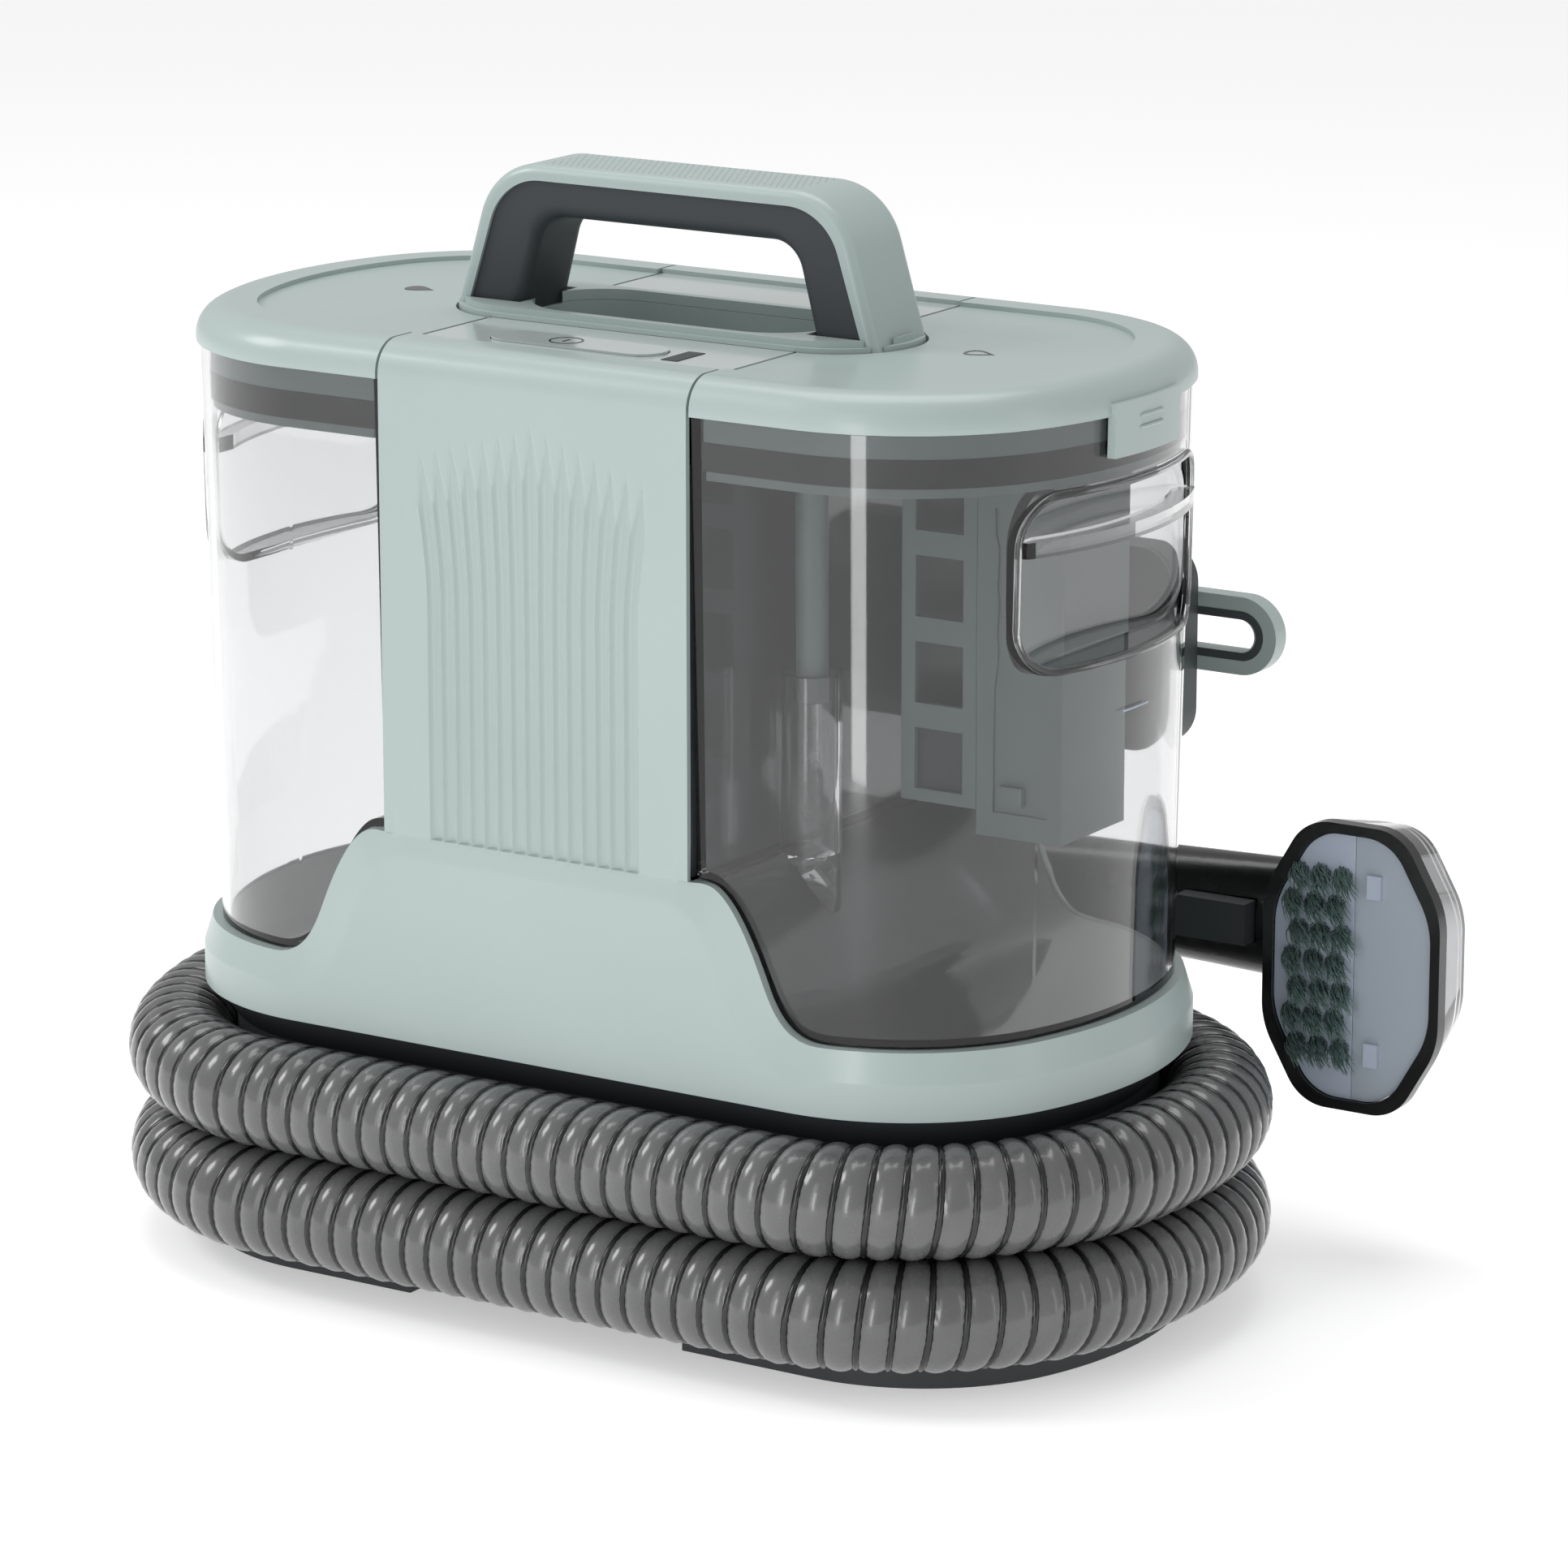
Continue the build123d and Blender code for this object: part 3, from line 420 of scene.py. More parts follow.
def edge_distance(x, z):
    """How far a point of the hump's face lies from the hump's edge."""
    x = abs(x)
    best = 1.0
    for (x0, z0), (x1, z1) in zip(EDGE_LINE, EDGE_LINE[1:]):
        if abs(x0 - x) > 20 * MM:
            continue
        dx, dz = x1 - x0, z1 - z0
        share = clamp(((x - x0) * dx + (z - z0) * dz) / (dx * dx + dz * dz))
        best = min(best, (x0 + dx * share - x) ** 2 + (z0 + dz * share - z) ** 2)
    return sqrt(best)


def face_proud(x, z):
    """How far the hump's face stands out of the plan outline, falling off in a band along its edge."""
    x = abs(x)
    at_end = smooth((x - 52 * MM) / (12 * MM))
    width = (7 + 6 * at_end - 3.5 * smooth((x - 96 * MM) / (14 * MM))) * MM
    depth = SKIRT_PROUD + (BAND_DEPTH - SKIRT_PROUD) * at_end
    return SKIRT_PROUD - depth * clamp(1 - edge_distance(x, z) / width)


def strip_columns():
    """Column places across the strip, as (side, share): share of a flute inside, of the margin outside."""
    inner = [(i / 10, 0) for i in range(-FLUTES * 5, FLUTES * 5 + 1)]
    outer = [(FLUTES / 2, (i + 1) / 8) for i in range(8)]
    left = [(-FLUTES / 2, share) for _, share in reversed(outer)]
    return left + inner + outer


def strip_x(column, z):
    flute, margin = column
    fan = smooth((z - 232 * MM) / (58 * MM))
    pitch = FLUTE_PITCH + (FLUTE_PITCH_TOP - FLUTE_PITCH) * fan
    x = flute * pitch
    if margin:
        side = 1 if flute > 0 else -1
        x += (STRIP_HALF * side - x) * margin
    return x


def flute_depth(column, z):
    """Depth of the scallop at a column: full at the foot, narrowing to a point at the top."""
    flute, margin = column
    if margin or z <= FLUTE_FOOT + 1e-5:
        return 0.0
    centre = round(flute)
    half = 0.5
    tip = (293 - 1.9 * abs(centre)) * MM
    reach = clamp((tip - z) / FLUTE_TIP)
    if reach <= 0:
        return 0.0
    away = abs(flute - centre) / (half * reach)
    return FLUTE_DEPTH * reach ** 0.7 * max(0.0, 1 - away ** 2)


def shoulder_rows():
    """The strip's profile above its straight wall, as (inwards, up) steps to the deck's edge."""
    rows = []
    steps = 12
    for step in range(1, steps + 1):
        angle = pi / 2 * step / steps
        rows.append((SHOULDER * (1 - cos(angle)), SHELL_HIGH - SHOULDER * (1 - sin(angle))))
    side = HALF_WIDTH - DECK_FRONT
    for share in (0.5, 1.0):
        rows.append((SHOULDER + (side - SHOULDER) * share, SHELL_HIGH))
    return rows


LOW_ROWS = 46


def low_heights(top):
    return [SHELL_LOW + (top - SHELL_LOW) * row / (LOW_ROWS - 1) for row in range(LOW_ROWS)]


def front_strip():
    columns = strip_columns()
    rows = []
    for z in low_heights(FLUTE_FOOT):
        rows.append([(strip_x(c, z), -HALF_WIDTH - face_proud(strip_x(c, z), z), z) for c in columns])
    wall_top = SHELL_HIGH - SHOULDER
    heights = [FLUTE_FOOT + 0.35 * MM] + [FLUTE_FOOT + 12 * MM * i for i in range(1, 7)]
    heights += [232 * MM + 1.6 * MM * i for i in range(42)] + [wall_top]
    for z in heights:
        rows.append([(strip_x(c, z), -HALF_WIDTH + flute_depth(c, z), z) for c in columns])
    for inwards, z in shoulder_rows():
        rows.append([(strip_x(c, z), -HALF_WIDTH + inwards, z) for c in columns])
    return rows


SLOT_HEIGHTS = [205 + 5 * i for i in range(8)]
SLOT_HALF, SLOT_HIGH = 30.0 * MM, 2.4 * MM


def back_strip():
    places = [x * MM for x in (58, 54, 50, 44, 37, 30, 20, 10, 0, -10, -20, -30, -37, -44, -50, -54, -58)]
    rows = []
    for z in low_heights(FLUTE_FOOT):
        rows.append([(x, HALF_WIDTH + face_proud(x, z), z) for x in places])
    heights = [FLUTE_FOOT + 10 * MM * i for i in range(1, 5)]
    for low in SLOT_HEIGHTS:
        heights += [low * MM, low * MM + SLOT_HIGH]
    heights += [252 * MM, 270 * MM, 290 * MM, SHELL_HIGH - SHOULDER]
    for z in heights:
        rows.append([(x, HALF_WIDTH, z) for x in places])
    for inwards, z in shoulder_rows():
        rows.append([(x, HALF_WIDTH - inwards, z) for x in places])
    return rows


def is_slot(corner, across):
    x, _, z = corner
    in_row = any(abs(z - low * MM) < 1e-5 for low in SLOT_HEIGHTS)
    return in_row and abs(x + across[0]) / 2 < SLOT_HALF


def end_wall(side):
    """The skirt round one end, with its ledge under the tank."""
    straight = [STRIP_HALF + (corner_x - STRIP_HALF) * step / 26 for step in range(26)]
    base = [(x, -HALF_WIDTH, 0, -1) for x in straight]
    for step in range(73):
        angle = -pi / 2 + pi * step / 72
        x, y = end_points(0.0, 72)[step]
        base.append((x, y, cos(angle), sin(angle)))
    base += [(x, HALF_WIDTH, 0, 1) for x in reversed(straight)]
    rows = []
    for row in range(LOW_ROWS):
        line = []
        for x, y, nx, ny in base:
            z = low_heights(hump(x))[row]
            out = face_proud(x, z)
            line.append(((x + nx * out) * side, y + ny * out, z))
        rows.append(line)
    for inwards in (3.2 * MM, 5.0 * MM, 7.0 * MM):
        rows.append([
            ((x - nx * inwards) * side if abs(nx) > 0 else x * side, y - ny * inwards, hump(x))
            for x, y, nx, ny in base
        ])
    return rows if side > 0 else [line[::-1] for line in rows]


def add_grid(points, faces, rows, skip=None):
    start = len(points)
    width = len(rows[0])
    for line in rows:
        points.extend(line)
    for r in range(len(rows) - 1):
        for c in range(width - 1):
            if skip and skip(rows[r][c], rows[r][c + 1]):
                continue
            a = start + r * width + c
            faces.append((a, a + 1, a + 1 + width, a + width))


def add_housing():
    points, faces = [], []
    add_grid(points, faces, front_strip())
    add_grid(points, faces, back_strip(), is_slot)
    for side in (1, -1):
        add_grid(points, faces, end_wall(side))
    shell = mesh_piece("housing_shell_skin", points, faces, "sage", "base")
    tidy(shell, 2e-5)
    thick = shell.modifiers.new("wall", "SOLIDIFY")
    thick.thickness = 2.0 * MM
    thick.offset = -1
    apply_modifiers(shell)
    shell.data.set_sharp_from_angle(angle=radians(38))
    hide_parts("housing_shell")
    for side, name in ((1, "seat_right"), (-1, "seat_left")):
        points, faces = [], []
        xs = [STRIP_HALF + (HALF_LENGTH - 7 * MM - STRIP_HALF) * (step / 70) for step in range(71)]
        rows = []
        for x in xs:
            half = half_width(x, 6.0 * MM)
            rows.append([(x * side, half * (2 * k / 24 - 1), hump(x) - 0.4 * MM) for k in range(25)])
        add_grid(points, faces, rows)
        seat = mesh_piece("tank_" + name, points, faces, "dark_grey", "base")
        tidy(seat, 1e-6)
        for polygon in seat.data.polygons:
            if polygon.normal.z < 0:
                seat.data.flip_normals()
                break
        thick = seat.modifiers.new("wall", "SOLIDIFY")
        thick.thickness = 1.5 * MM
        thick.offset = -1
        apply_modifiers(seat)
        seat.data.set_sharp_from_angle(angle=radians(38))
        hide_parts("housing_shell")


# ---------------------------------------------------------------- hose
HOSE_RADIUS = 18.0 * MM
HOSE_OFFSET = 9.8 * MM
END_FLARE, END_REACH = 1.6 * MM, 30 * MM
EXIT = (0.062, 0.1016, 0.0292)
RIB_PITCH = 9.4 * MM
TURN_LOW = 27.4 * MM
TURN_HIGH = 64.0 * MM
SIDE_BOW = 1.4 * MM
TOOL_Y, TOOL_Z = 128.0 * MM, 107.5 * MM
FACETS = tuple(radians(a) for a in (90, 60, 30, 0))


def support(angle):
    """How far the hose's centreline stands from the origin, along a direction in plan."""
    if angle < join:
        return bulge_x * cos(angle) + BULGE + HOSE_OFFSET
    return corner_x * cos(angle) + corner_y * sin(angle) + CORNER + HOSE_OFFSET


def quarter():
    corners = []
    for a, b in zip(FACETS, FACETS[1:]):
        turn = sin(b - a)
        corners.append((
            (support(a) * sin(b) - support(b) * sin(a)) / turn,
            (support(b) * cos(a) - support(a) * cos(b)) / turn,
        ))
    return corners


def turn_points(z):
    """One turn, clockwise from above, from the back right round to the back left."""
    right = quarter()
    side = right[0][1] + SIDE_BOW
    end = right + [(x, -y) for x, y in reversed(right)]
    near = [(0.088, -side + 0.0004)]
    front = [(0.045, -side), (-0.045, -side)]
    far = [(-0.088, -side + 0.0004)]
    other = [(-x, y) for x, y in reversed(end)]
    return [(x, y, z) for x, y in end + near + front + far + other]


def hose_route():
    first, second = turn_points(TURN_LOW), turn_points(TURN_HIGH)
    back = first[-1][1]
    start = [EXIT]
    climb = [
        (first[-3][0] - 0.001, first[-3][1], TURN_LOW + 0.001),
        (first[-2][0], first[-2][1] + 0.001, TURN_LOW + 0.005),
        (first[-1][0], back + 0.001, TURN_LOW + 0.016),
        (-0.044, back + 0.0025, TURN_HIGH + 0.001),
        (0.040, back + 0.0015, TURN_HIGH + 0.0004),
        (0.088, back + 0.0006, TURN_HIGH + 0.0002),
    ]
    rise = [
        (-0.1837, 0.032, TURN_HIGH + 0.0015),
        (-0.170, 0.084, 0.084),
        (-0.126, TOOL_Y, TOOL_Z),
    ]
    return start + first[:-3] + climb + second[:-3] + rise + [(-0.072, TOOL_Y, TOOL_Z)]


def route_curve(name, points):
    """A smooth open spline with the route's points as its control points."""
    curve = bpy.data.curves.new(name, "CURVE")
    curve.dimensions = "3D"
    spline = curve.splines.new("NURBS")
    spline.points.add(len(points) - 1)
    for point, place in zip(spline.points, points):
        point.co = (*place, 1)
    spline.order_u = 3
    spline.use_endpoint_u = True
    spline.resolution_u = 24
    return curve


def read_path(curve):
    """Points along a curve, as its own evaluated line gives them."""
    holder = bpy.data.objects.new("route", curve)
    bpy.context.scene.collection.objects.link(holder)
    deps = bpy.context.evaluated_depsgraph_get()
    mesh = bpy.data.meshes.new_from_object(holder.evaluated_get(deps))
    points = [v.co.copy() for v in mesh.vertices]
    bpy.data.objects.remove(holder)
    return points


def walk(points, step):
    """Places at even steps along a line, each with its direction."""
    lengths = [0.0]
    for a, b in zip(points, points[1:]):
        lengths.append(lengths[-1] + (b - a).length)
    count = max(2, round(lengths[-1] / step))
    found, index = [], 0
    for number in range(count + 1):
        at = lengths[-1] * number / count
        while index < len(points) - 2 and lengths[index + 1] < at:
            index += 1
        span = lengths[index + 1] - lengths[index]
        share = (at - lengths[index]) / span if span else 0
        found.append(points[index].lerp(points[index + 1], share))
    ways = [(b - a).normalized() for a, b in zip([found[0]] + found, found[1:] + [found[-1]])]
    return found, ways, lengths[-1]


def ring_frames(ways):
    """Two directions across the line at each place, without twist."""
    side = Vector((0, 0, 1))
    frames = []
    for way in ways:
        side = (side - way * side.dot(way)).normalized()
        frames.append((side.copy(), way.cross(side)))
    return frames


def tube(places, frames, radius_at, around, length):
    """A tube whose radius follows a rule of the distance along it and the angle round it."""
    points, faces = [], []
    total = len(places)
    for number, (place, (up, across)) in enumerate(zip(places, frames)):
        for k in range(around):
            angle = 2 * pi * k / around
            at = length * number / (total - 1)
            r = radius_at(at, angle)
            points.append(place + (up * cos(angle) + across * sin(angle)) * r)
    faces = grid_faces(around, total, True)
    ends = [tuple(range(around))[::-1], tuple(range((total - 1) * around, total * around))]
    return points, faces + ends


def add_hose():
    route = hose_route()
    path = read_path(route_curve("hose_route", route))
    steps_per_rib = 8
    places, ways, length = walk(path, RIB_PITCH / steps_per_rib)
    frames = ring_frames(ways)
    bulge, groove = HOSE_RADIUS, HOSE_RADIUS - 2.3 * MM

    def barrel(at, angle):
        """The wall bulges out between the turns of the rib."""
        phase = (at / RIB_PITCH + angle / (2 * pi)) % 1.0
        flare = END_FLARE * clamp(1 - min(at, length - at) / END_REACH)
        return flare + groove + (bulge - groove) * abs(sin(pi * phase)) ** 0.55

    points, faces = tube(places, frames, barrel, 32, length)
    hose = mesh_piece("suction_hose_wall", points, faces, "hose", "base")
    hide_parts("suction_hose")
    rib_steps = 26
    spots, runs, _ = walk(path, RIB_PITCH / rib_steps)
    cross = ring_frames(runs)
    points, faces, ring = [], [], 5
    for number, (place, (up, across)) in enumerate(zip(spots, cross)):
        angle = -2 * pi * length * number / (len(spots) - 1) / RIB_PITCH
        out = up * cos(angle) + across * sin(angle)
        centre = place + out * (groove + 0.8 * MM)
        for k in range(ring):
            turn = 2 * pi * k / ring
            points.append(centre + (out * cos(turn) * 1.1 + runs[number] * sin(turn) * 1.25) * MM)
    faces = grid_faces(ring, len(spots), True)
    faces += [tuple(range(ring))[::-1], tuple(range(len(points) - ring, len(points)))]
    rib = mesh_piece("suction_hose_rib", points, faces, "black", "base")


# ---------------------------------------------------------------- repeated pieces
def socket_of(tree, name):
    """The identifier of a tree's named input."""
    return next(s.identifier for s in tree.interface.items_tree if s.name == name)


def scatter_tree(name, finish):
    """Copies of one piece on the points of a mesh, turned by a lean and a seeded spread."""
    tree = bpy.data.node_groups.new(name, "GeometryNodeTree")
    sides = (("Points", "INPUT", "NodeSocketGeometry"), ("Piece", "INPUT", "NodeSocketObject"),
             ("Lean", "INPUT", "NodeSocketVector"), ("Spread", "INPUT", "NodeSocketFloat"),
             ("Size", "INPUT", "NodeSocketFloat"), ("Seed", "INPUT", "NodeSocketInt"),
             ("Made", "OUTPUT", "NodeSocketGeometry"))
    for label, side, kind in sides:
        tree.interface.new_socket(label, in_out=side, socket_type=kind)
    start, end = tree.nodes.new("NodeGroupInput"), tree.nodes.new("NodeGroupOutput")

    def node(kind, links, settings=None):
        made = tree.nodes.new(kind)
        for key, value in (settings or {}).items():
            setattr(made, key, value)
        for key, value in links.items():
            if hasattr(value, "is_output"):
                tree.links.new(value, made.inputs[key])
            else:
                made.inputs[key].default_value = value
        return made

    piece = node(
        "GeometryNodeObjectInfo", {"Object": start.outputs["Piece"]}, {"transform_space": "ORIGINAL"},
    )
    random = node("FunctionNodeRandomValue", {0: (-1, -1, -1), 1: (1, 1, 1), "Seed": start.outputs["Seed"]},
                  {"data_type": "FLOAT_VECTOR"})
    spread = node("ShaderNodeVectorMath", {0: random.outputs[0], "Scale": start.outputs["Spread"]},
                  {"operation": "SCALE"})
    turn = node(
        "ShaderNodeVectorMath", {0: spread.outputs[0], 1: start.outputs["Lean"]}, {"operation": "ADD"},
    )
    points = node("GeometryNodeMeshToPoints", {"Mesh": start.outputs["Points"]})
    copies = node("GeometryNodeInstanceOnPoints", {
        "Points": points.outputs[0], "Instance": piece.outputs["Geometry"], "Rotation": turn.outputs[0],
        "Scale": start.outputs["Size"],
    })
    real = node("GeometryNodeRealizeInstances", {"Geometry": copies.outputs[0]})
    dressed = node("GeometryNodeSetMaterial", {"Geometry": real.outputs[0], "Material": finish})
    tree.links.new(dressed.outputs[0], end.inputs[0])
    return tree


def scatter(name, spots, piece, slot, body, lean=(0, 0, 0), spread=0.0, size=1.0, seed=1):
    """A mesh of copies of one small piece at the spots given."""
    carrier = mesh_piece(name, spots, [])
    tree = scatter_tree(name + "_tree", finishes[slot])
    modifier = carrier.modifiers.new("copies", "NODES")
    modifier.node_group = tree
    values = {"Piece": piece, "Lean": lean, "Spread": spread, "Size": size, "Seed": seed}
    for label, value in values.items():
        modifier[socket_of(tree, label)] = value
    apply_modifiers(carrier)
    bpy.data.objects.remove(piece)
    for polygon in carrier.data.polygons:
        polygon.use_smooth = True
    set_finish(carrier, slot)
    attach(carrier, body)
    return carrier


def small_piece(name, points, faces):
    """A source shape for copies: it isn't part of the scene itself."""
    mesh = bpy.data.meshes.new(name)
    mesh.from_pydata([tuple(p) for p in points], [], faces)
    return bpy.data.objects.new(name, mesh)


def rings(line, radii, around):
    """Points and faces of a closed tube along a short line, with a radius for each place."""
    ways = [(b - a).normalized() for a, b in zip([line[0]] + line, line[1:] + [line[-1]])]
    frames = ring_frames(ways)
    points = []
    for place, radius, (up, across) in zip(line, radii, frames):
        for k in range(around):
            angle = 2 * pi * k / around
            points.append(place + (up * cos(angle) + across * sin(angle)) * radius)
    faces = grid_faces(around, len(line), True)
    faces += [tuple(range(around))[::-1], tuple(range(len(points) - around, len(points)))]
    return points, faces


def loop_bead(name, line, radius, slot, body, around=8):
    """A closed bead of plastic round a loop of points."""
    count = len(line)
    points = []
    for number, place in enumerate(line):
        way = (line[(number + 1) % count] - line[number - 1]).normalized()
        up = Vector((1, 0, 0)) - way * way.x
        up.normalize()
        across = way.cross(up)
        for k in range(around):
            angle = 2 * pi * k / around
            points.append(place + (up * cos(angle) + across * sin(angle)) * radius)
    faces = []
    for number in range(count):
        for k in range(around):
            a, b = number * around + k, number * around + (k + 1) % around
            c, d = (number + 1) % count * around + (k + 1) % around, (number + 1) % count * around + k
            faces.append((a, b, c, d))
    bead = mesh_piece(name, points, faces, slot, body)
    tidy(bead)
    return bead


# ---------------------------------------------------------------- brush tool
def add_bristles():
    """Combed tufts of fibre that lean the way the brush is pulled."""
    low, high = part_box("bristle_tufts")
    rows, columns, radius = 7, 3, 3.6 * MM
    pitch = (high.z - low.z - 6.4 * MM) / (rows - 1)
    spots = []
    for row in range(rows):
        for column in range(columns):
            x = low.x + 3.2 * MM + column * 8.0 * MM + (1 - row % 2) * 2.3 * MM
            z = low.z + 3.2 * MM + row * pitch
            for k in range(64):
                share, angle = sqrt((k + 0.5) / 64), k * radians(137.5)
                spots.append((
                    x + radius * share * cos(angle) - 0.8 * MM, high.y - 0.2 * MM,
                    z + radius * share * sin(angle) + 1.4 * MM,
                ))
    line, radii = [], []
    steps = 4
    for step in range(steps + 1):
        share = step / steps
        line.append(Vector((4.6 * share ** 1.6, -8.3 * share * (1 - 0.25 * share), -3.4 * share ** 1.6)) * MM)
        radii.append((0.26 - 0.14 * share) * MM)
    fibre = small_piece("fibre", *rings(line, radii, 3))
    brush = scatter("bristle_fibres", spots, fibre, "bristle", "base", spread=0.2, seed=7)
    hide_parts("bristle_tufts")


# ---------------------------------------------------------------- handle and lids
def add_dimples():
    """Fine raised dots on top of the handle, where the palm lies."""
    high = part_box("handle_shell")[1]
    spots = []
    columns, rows, pitch = 42, 11, 2.3 * MM
    for i in range(columns):
        for j in range(rows):
            x, y = (i - (columns - 1) / 2) * pitch, (j - (rows - 1) / 2) * pitch
            if j % 2:
                x += pitch / 2
            spots.append((x, y, high.z - 0.15 * MM))
    around, levels = 8, 3
    points, faces = [], []
    for level in range(levels):
        angle = pi / 2 * level / levels
        for k in range(around):
            turn = 2 * pi * k / around
            r = 0.62 * MM * cos(angle)
            points.append((r * cos(turn), r * sin(turn), 0.42 * MM * sin(angle)))
    faces = grid_faces(around, levels, True)
    points.append((0, 0, 0.42 * MM))
    top = len(points) - 1
    last = (levels - 1) * around
    faces += [(top, last + k, last + (k + 1) % around) for k in range(around)]
    faces = [face if len(face) == 4 else (face[1], face[2], face[0]) for face in faces]
    faces.append(tuple(range(around))[::-1])
    dot = small_piece("dot", points, faces)
    scatter("handle_dots", spots, dot, "sage", "base")


def drop_outline(centre, size, count=40):
    """A water drop's outline lying on a lid, with its tip towards the machine's end."""
    line = []
    for k in range(count):
        angle = 2 * pi * k / count
        x = cos(angle)
        y = sin(angle) * sin(angle / 2) ** 1.6
        line.append((centre[0] + x * size, centre[1] + y * size * 1.1))
    return line


def flat_mark(name, loops, z, body, slot="black", thick=0.15 * MM):
    """A thin printed mark between an outer and an inner loop, or inside one loop."""
    points, faces = [], []
    if len(loops) == 1:
        loop = loops[0]
        count = len(loop)
        points = [(x, y, z) for x, y in loop] + [(x, y, z + thick) for x, y in loop]
        faces = [tuple(range(count))[::-1], tuple(range(count, 2 * count))]
        faces += [(k, (k + 1) % count, count + (k + 1) % count, count + k) for k in range(count)]
    else:
        outer, inner = loops
        count = len(outer)
        for loop, height in ((outer, z), (inner, z), (inner, z + thick), (outer, z + thick)):
            points += [(x, y, height) for x, y in loop]
        for ring in range(4):
            for k in range(count):
                a, b = ring * count + k, ring * count + (k + 1) % count
                c, d = (ring + 1) % 4 * count + (k + 1) % count, (ring + 1) % 4 * count + k
                faces.append((a, b, c, d))
    mark = mesh_piece(name, points, faces, slot, body, smooth=False)
    tidy(mark)
    return mark


def add_marks():
    lid_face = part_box("clean_lid")[1].z - 1.5 * MM
    outer = drop_outline((0.108, 0.001), 5.2 * MM)
    inner = drop_outline((0.1078, 0.001), 4.1 * MM)
    flat_mark("clean_drop_mark", [outer, inner], lid_face, "clean_lid")
    flat_mark("dirty_drop_mark", [drop_outline((-0.108, 0.003), 5.2 * MM)], lid_face, "dirty_lid")
    low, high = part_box("power_button")
    x, y = -0.011, (low.y + high.y) / 2

    def circle(radius, squeeze=1.0):
        angles = [2 * pi * k / 40 for k in range(40)]
        return [(x + radius * cos(a), y + radius * sin(a) * squeeze) for a in angles]

    flat_mark("power_ring", [circle(5.6 * MM), circle(5.0 * MM)], high.z - 0.03 * MM, "power_button")
    bar = [(x - 0.3 * MM, y - 2 * MM), (x + 0.3 * MM, y - 2 * MM), (x + 0.3 * MM, y + 2 * MM),
           (x - 0.3 * MM, y + 2 * MM)]
    flat_mark("power_bar", [bar], high.z - 0.03 * MM, "power_button")


def end_reach(y, inset):
    """How far the outline's end, moved inwards, reaches in X at y."""
    bulge, corner = BULGE - inset, CORNER - inset
    if abs(y) <= bulge * sin(join):
        return bulge_x + sqrt(bulge ** 2 - y ** 2)
    return corner_x + sqrt(max(corner ** 2 - (abs(y) - corner_y) ** 2, 0))


def add_tab_lines():
    """Two grip lines on each lid's finger tab."""
    proud = -1.5 * MM
    for side, body in ((1, "clean_lid"), (-1, "dirty_lid")):
        for number, z in enumerate((297.0 * MM, 300.6 * MM)):
            line = [
                Vector((side * end_reach(y, proud), y, z))
                for y in [(-7 + 14 * k / 16) * MM for k in range(17)]
            ]
            points, faces = rings(line, [0.3 * MM] + [0.7 * MM] * 15 + [0.3 * MM], 8)
            ridge = mesh_piece(f"{body}_grip_line_{number}", points, faces, "sage", body)
            tidy(ridge)


# ---------------------------------------------------------------- tank trim
TANK_LOW_INSET, TANK_HIGH_INSET = 5.0 * MM, 1.5 * MM
TANK_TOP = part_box("clean_tank")[1].z


def tank_inset(z):
    share = (z - SHELL_LOW) / (TANK_TOP - SHELL_LOW)
    return TANK_LOW_INSET + (TANK_HIGH_INSET - TANK_LOW_INSET) * share


POCKET_HALF, POCKET_LOW, POCKET_HIGH, POCKET_CORNER = 52 * MM, 226 * MM, 279 * MM, 14 * MM


def pocket_loop(side, grow):
    """The outline of the finger pocket on a tank's end."""
    half, corner = POCKET_HALF + grow, POCKET_CORNER + grow
    low, high = POCKET_LOW - grow, POCKET_HIGH + grow
    flat = []
    for cy, cz, start in ((half - corner, high - corner, 0), (corner - half, high - corner, 90),
                          (corner - half, low + corner, 180), (half - corner, low + corner, 270)):
        for step in range(11):
            angle = radians(start + 9 * step)
            flat.append((cy + corner * cos(angle), cz + corner * sin(angle)))
    line = []
    for (y0, z0), (y1, z1) in zip(flat, flat[1:] + flat[:1]):
        pieces = max(1, round(sqrt((y1 - y0) ** 2 + (z1 - z0) ** 2) / (2.5 * MM)))
        for k in range(pieces):
            y, z = y0 + (y1 - y0) * k / pieces, z0 + (z1 - z0) * k / pieces
            line.append(Vector((side * end_reach(y, tank_inset(z)), y, z)))
    return line


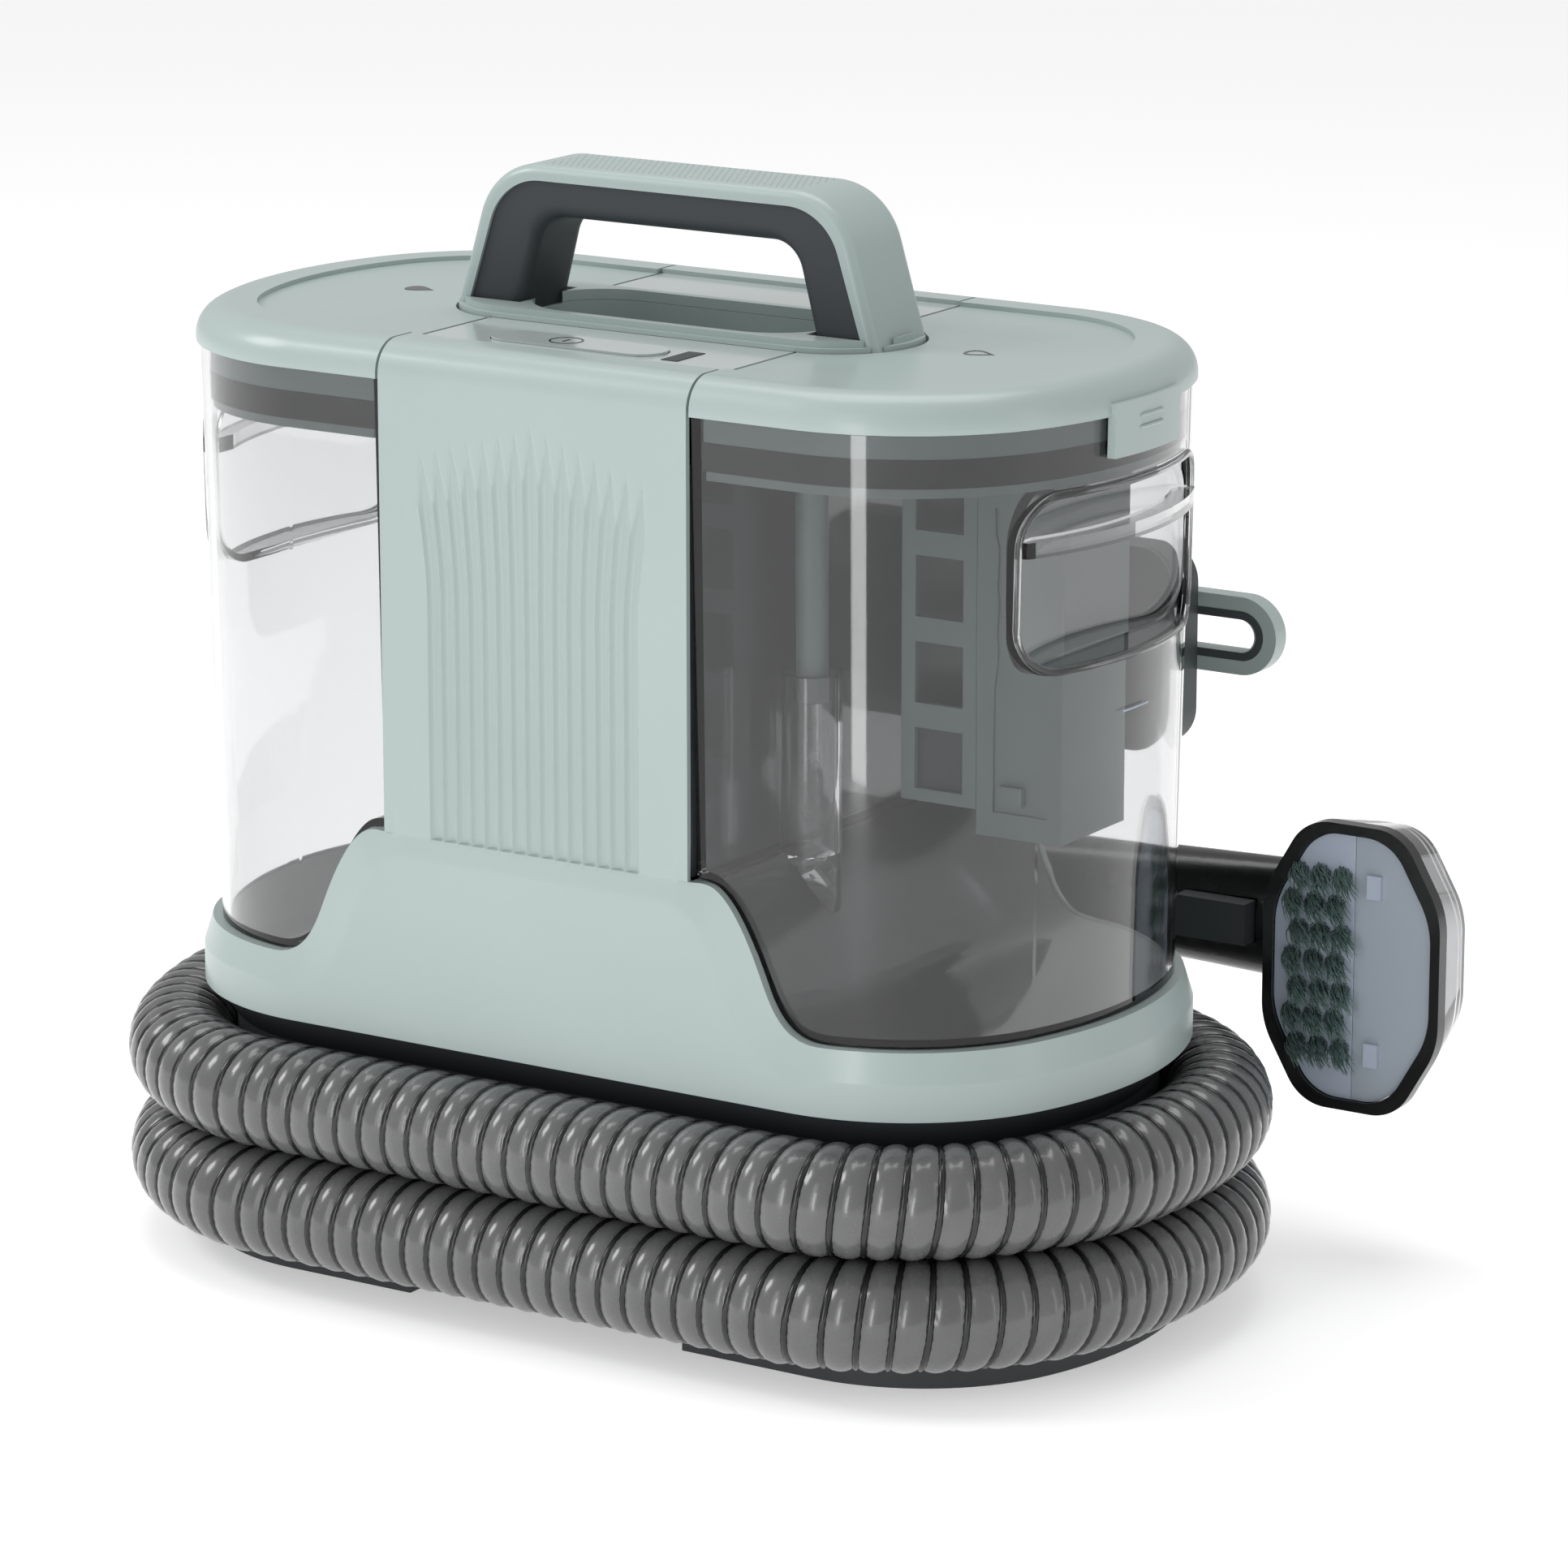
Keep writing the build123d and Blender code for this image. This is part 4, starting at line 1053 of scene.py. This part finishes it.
def add_pocket_beads():
    for side, body in ((1, "clean_tank"), (-1, "dirty_tank")):
        loop_bead(body + "_pocket_bead", pocket_loop(side, 1.2 * MM), 1.3 * MM, "clear", body, 10)


FILL_LEVEL = 207 * MM


def add_fill_mark():
    """A printed level line on the clean tank's end."""
    z = FILL_LEVEL
    line = [Vector((end_reach(y * MM, tank_inset(z)) + 0.05 * MM, y * MM, z)) for y in range(-8, 9)]
    points, faces = rings(line, [0.35 * MM] * len(line), 6)
    mark = mesh_piece("fill_line", points, faces, "white_blue", "clean_tank")
    tidy(mark)


# ---------------------------------------------------------------- hooks
HOOK_SHIFT, HOOK_AROUND = 18 * MM, 48
GROOVE_OUTER, GROOVE_INNER = 8.3, 5.6


def add_hook_groove_shade():
    """A dark grey ring sheet in each loop hook's slot: painted shade of the groove."""
    for node in ("loop_hook_right", "loop_hook_left"):
        low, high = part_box(node)
        centre_x, centre_z = (low.x + high.x) / 2, (low.z + high.z) / 2
        front, back = low.y - 0.0001, low.y + 0.0012
        points = []
        section = (
            (GROOVE_OUTER, front), (GROOVE_INNER, front), (GROOVE_INNER, back), (GROOVE_OUTER, back),
        )
        for radius, y in section:
            for k in range(HOOK_AROUND):
                angle = 2 * pi * k / HOOK_AROUND
                shift = HOOK_SHIFT if cos(angle) > 0 else -HOOK_SHIFT
                x = centre_x + shift + radius * MM * cos(angle)
                points.append((x, y, centre_z + radius * MM * sin(angle)))
        faces = []
        for ring in range(4):
            for k in range(HOOK_AROUND):
                a, b = ring * HOOK_AROUND + k, ring * HOOK_AROUND + (k + 1) % HOOK_AROUND
                far = (ring + 1) % 4 * HOOK_AROUND
                faces.append((a, b, far + (k + 1) % HOOK_AROUND, far + k))
        # the mid grey ring is painted shade where the hook's groove lies in shade
        painted_groove_shade = mesh_piece(f"{node}_groove", points, faces, "mid_grey", "base", smooth=False)
        tidy(painted_groove_shade)


# ---------------------------------------------------------------- make everything
add_camera()
add_studio()
dress_nodes()
add_housing()
add_hose()
add_bristles()
add_dimples()
add_marks()
add_tab_lines()
add_pocket_beads()
add_fill_mark()
add_hook_groove_shade()
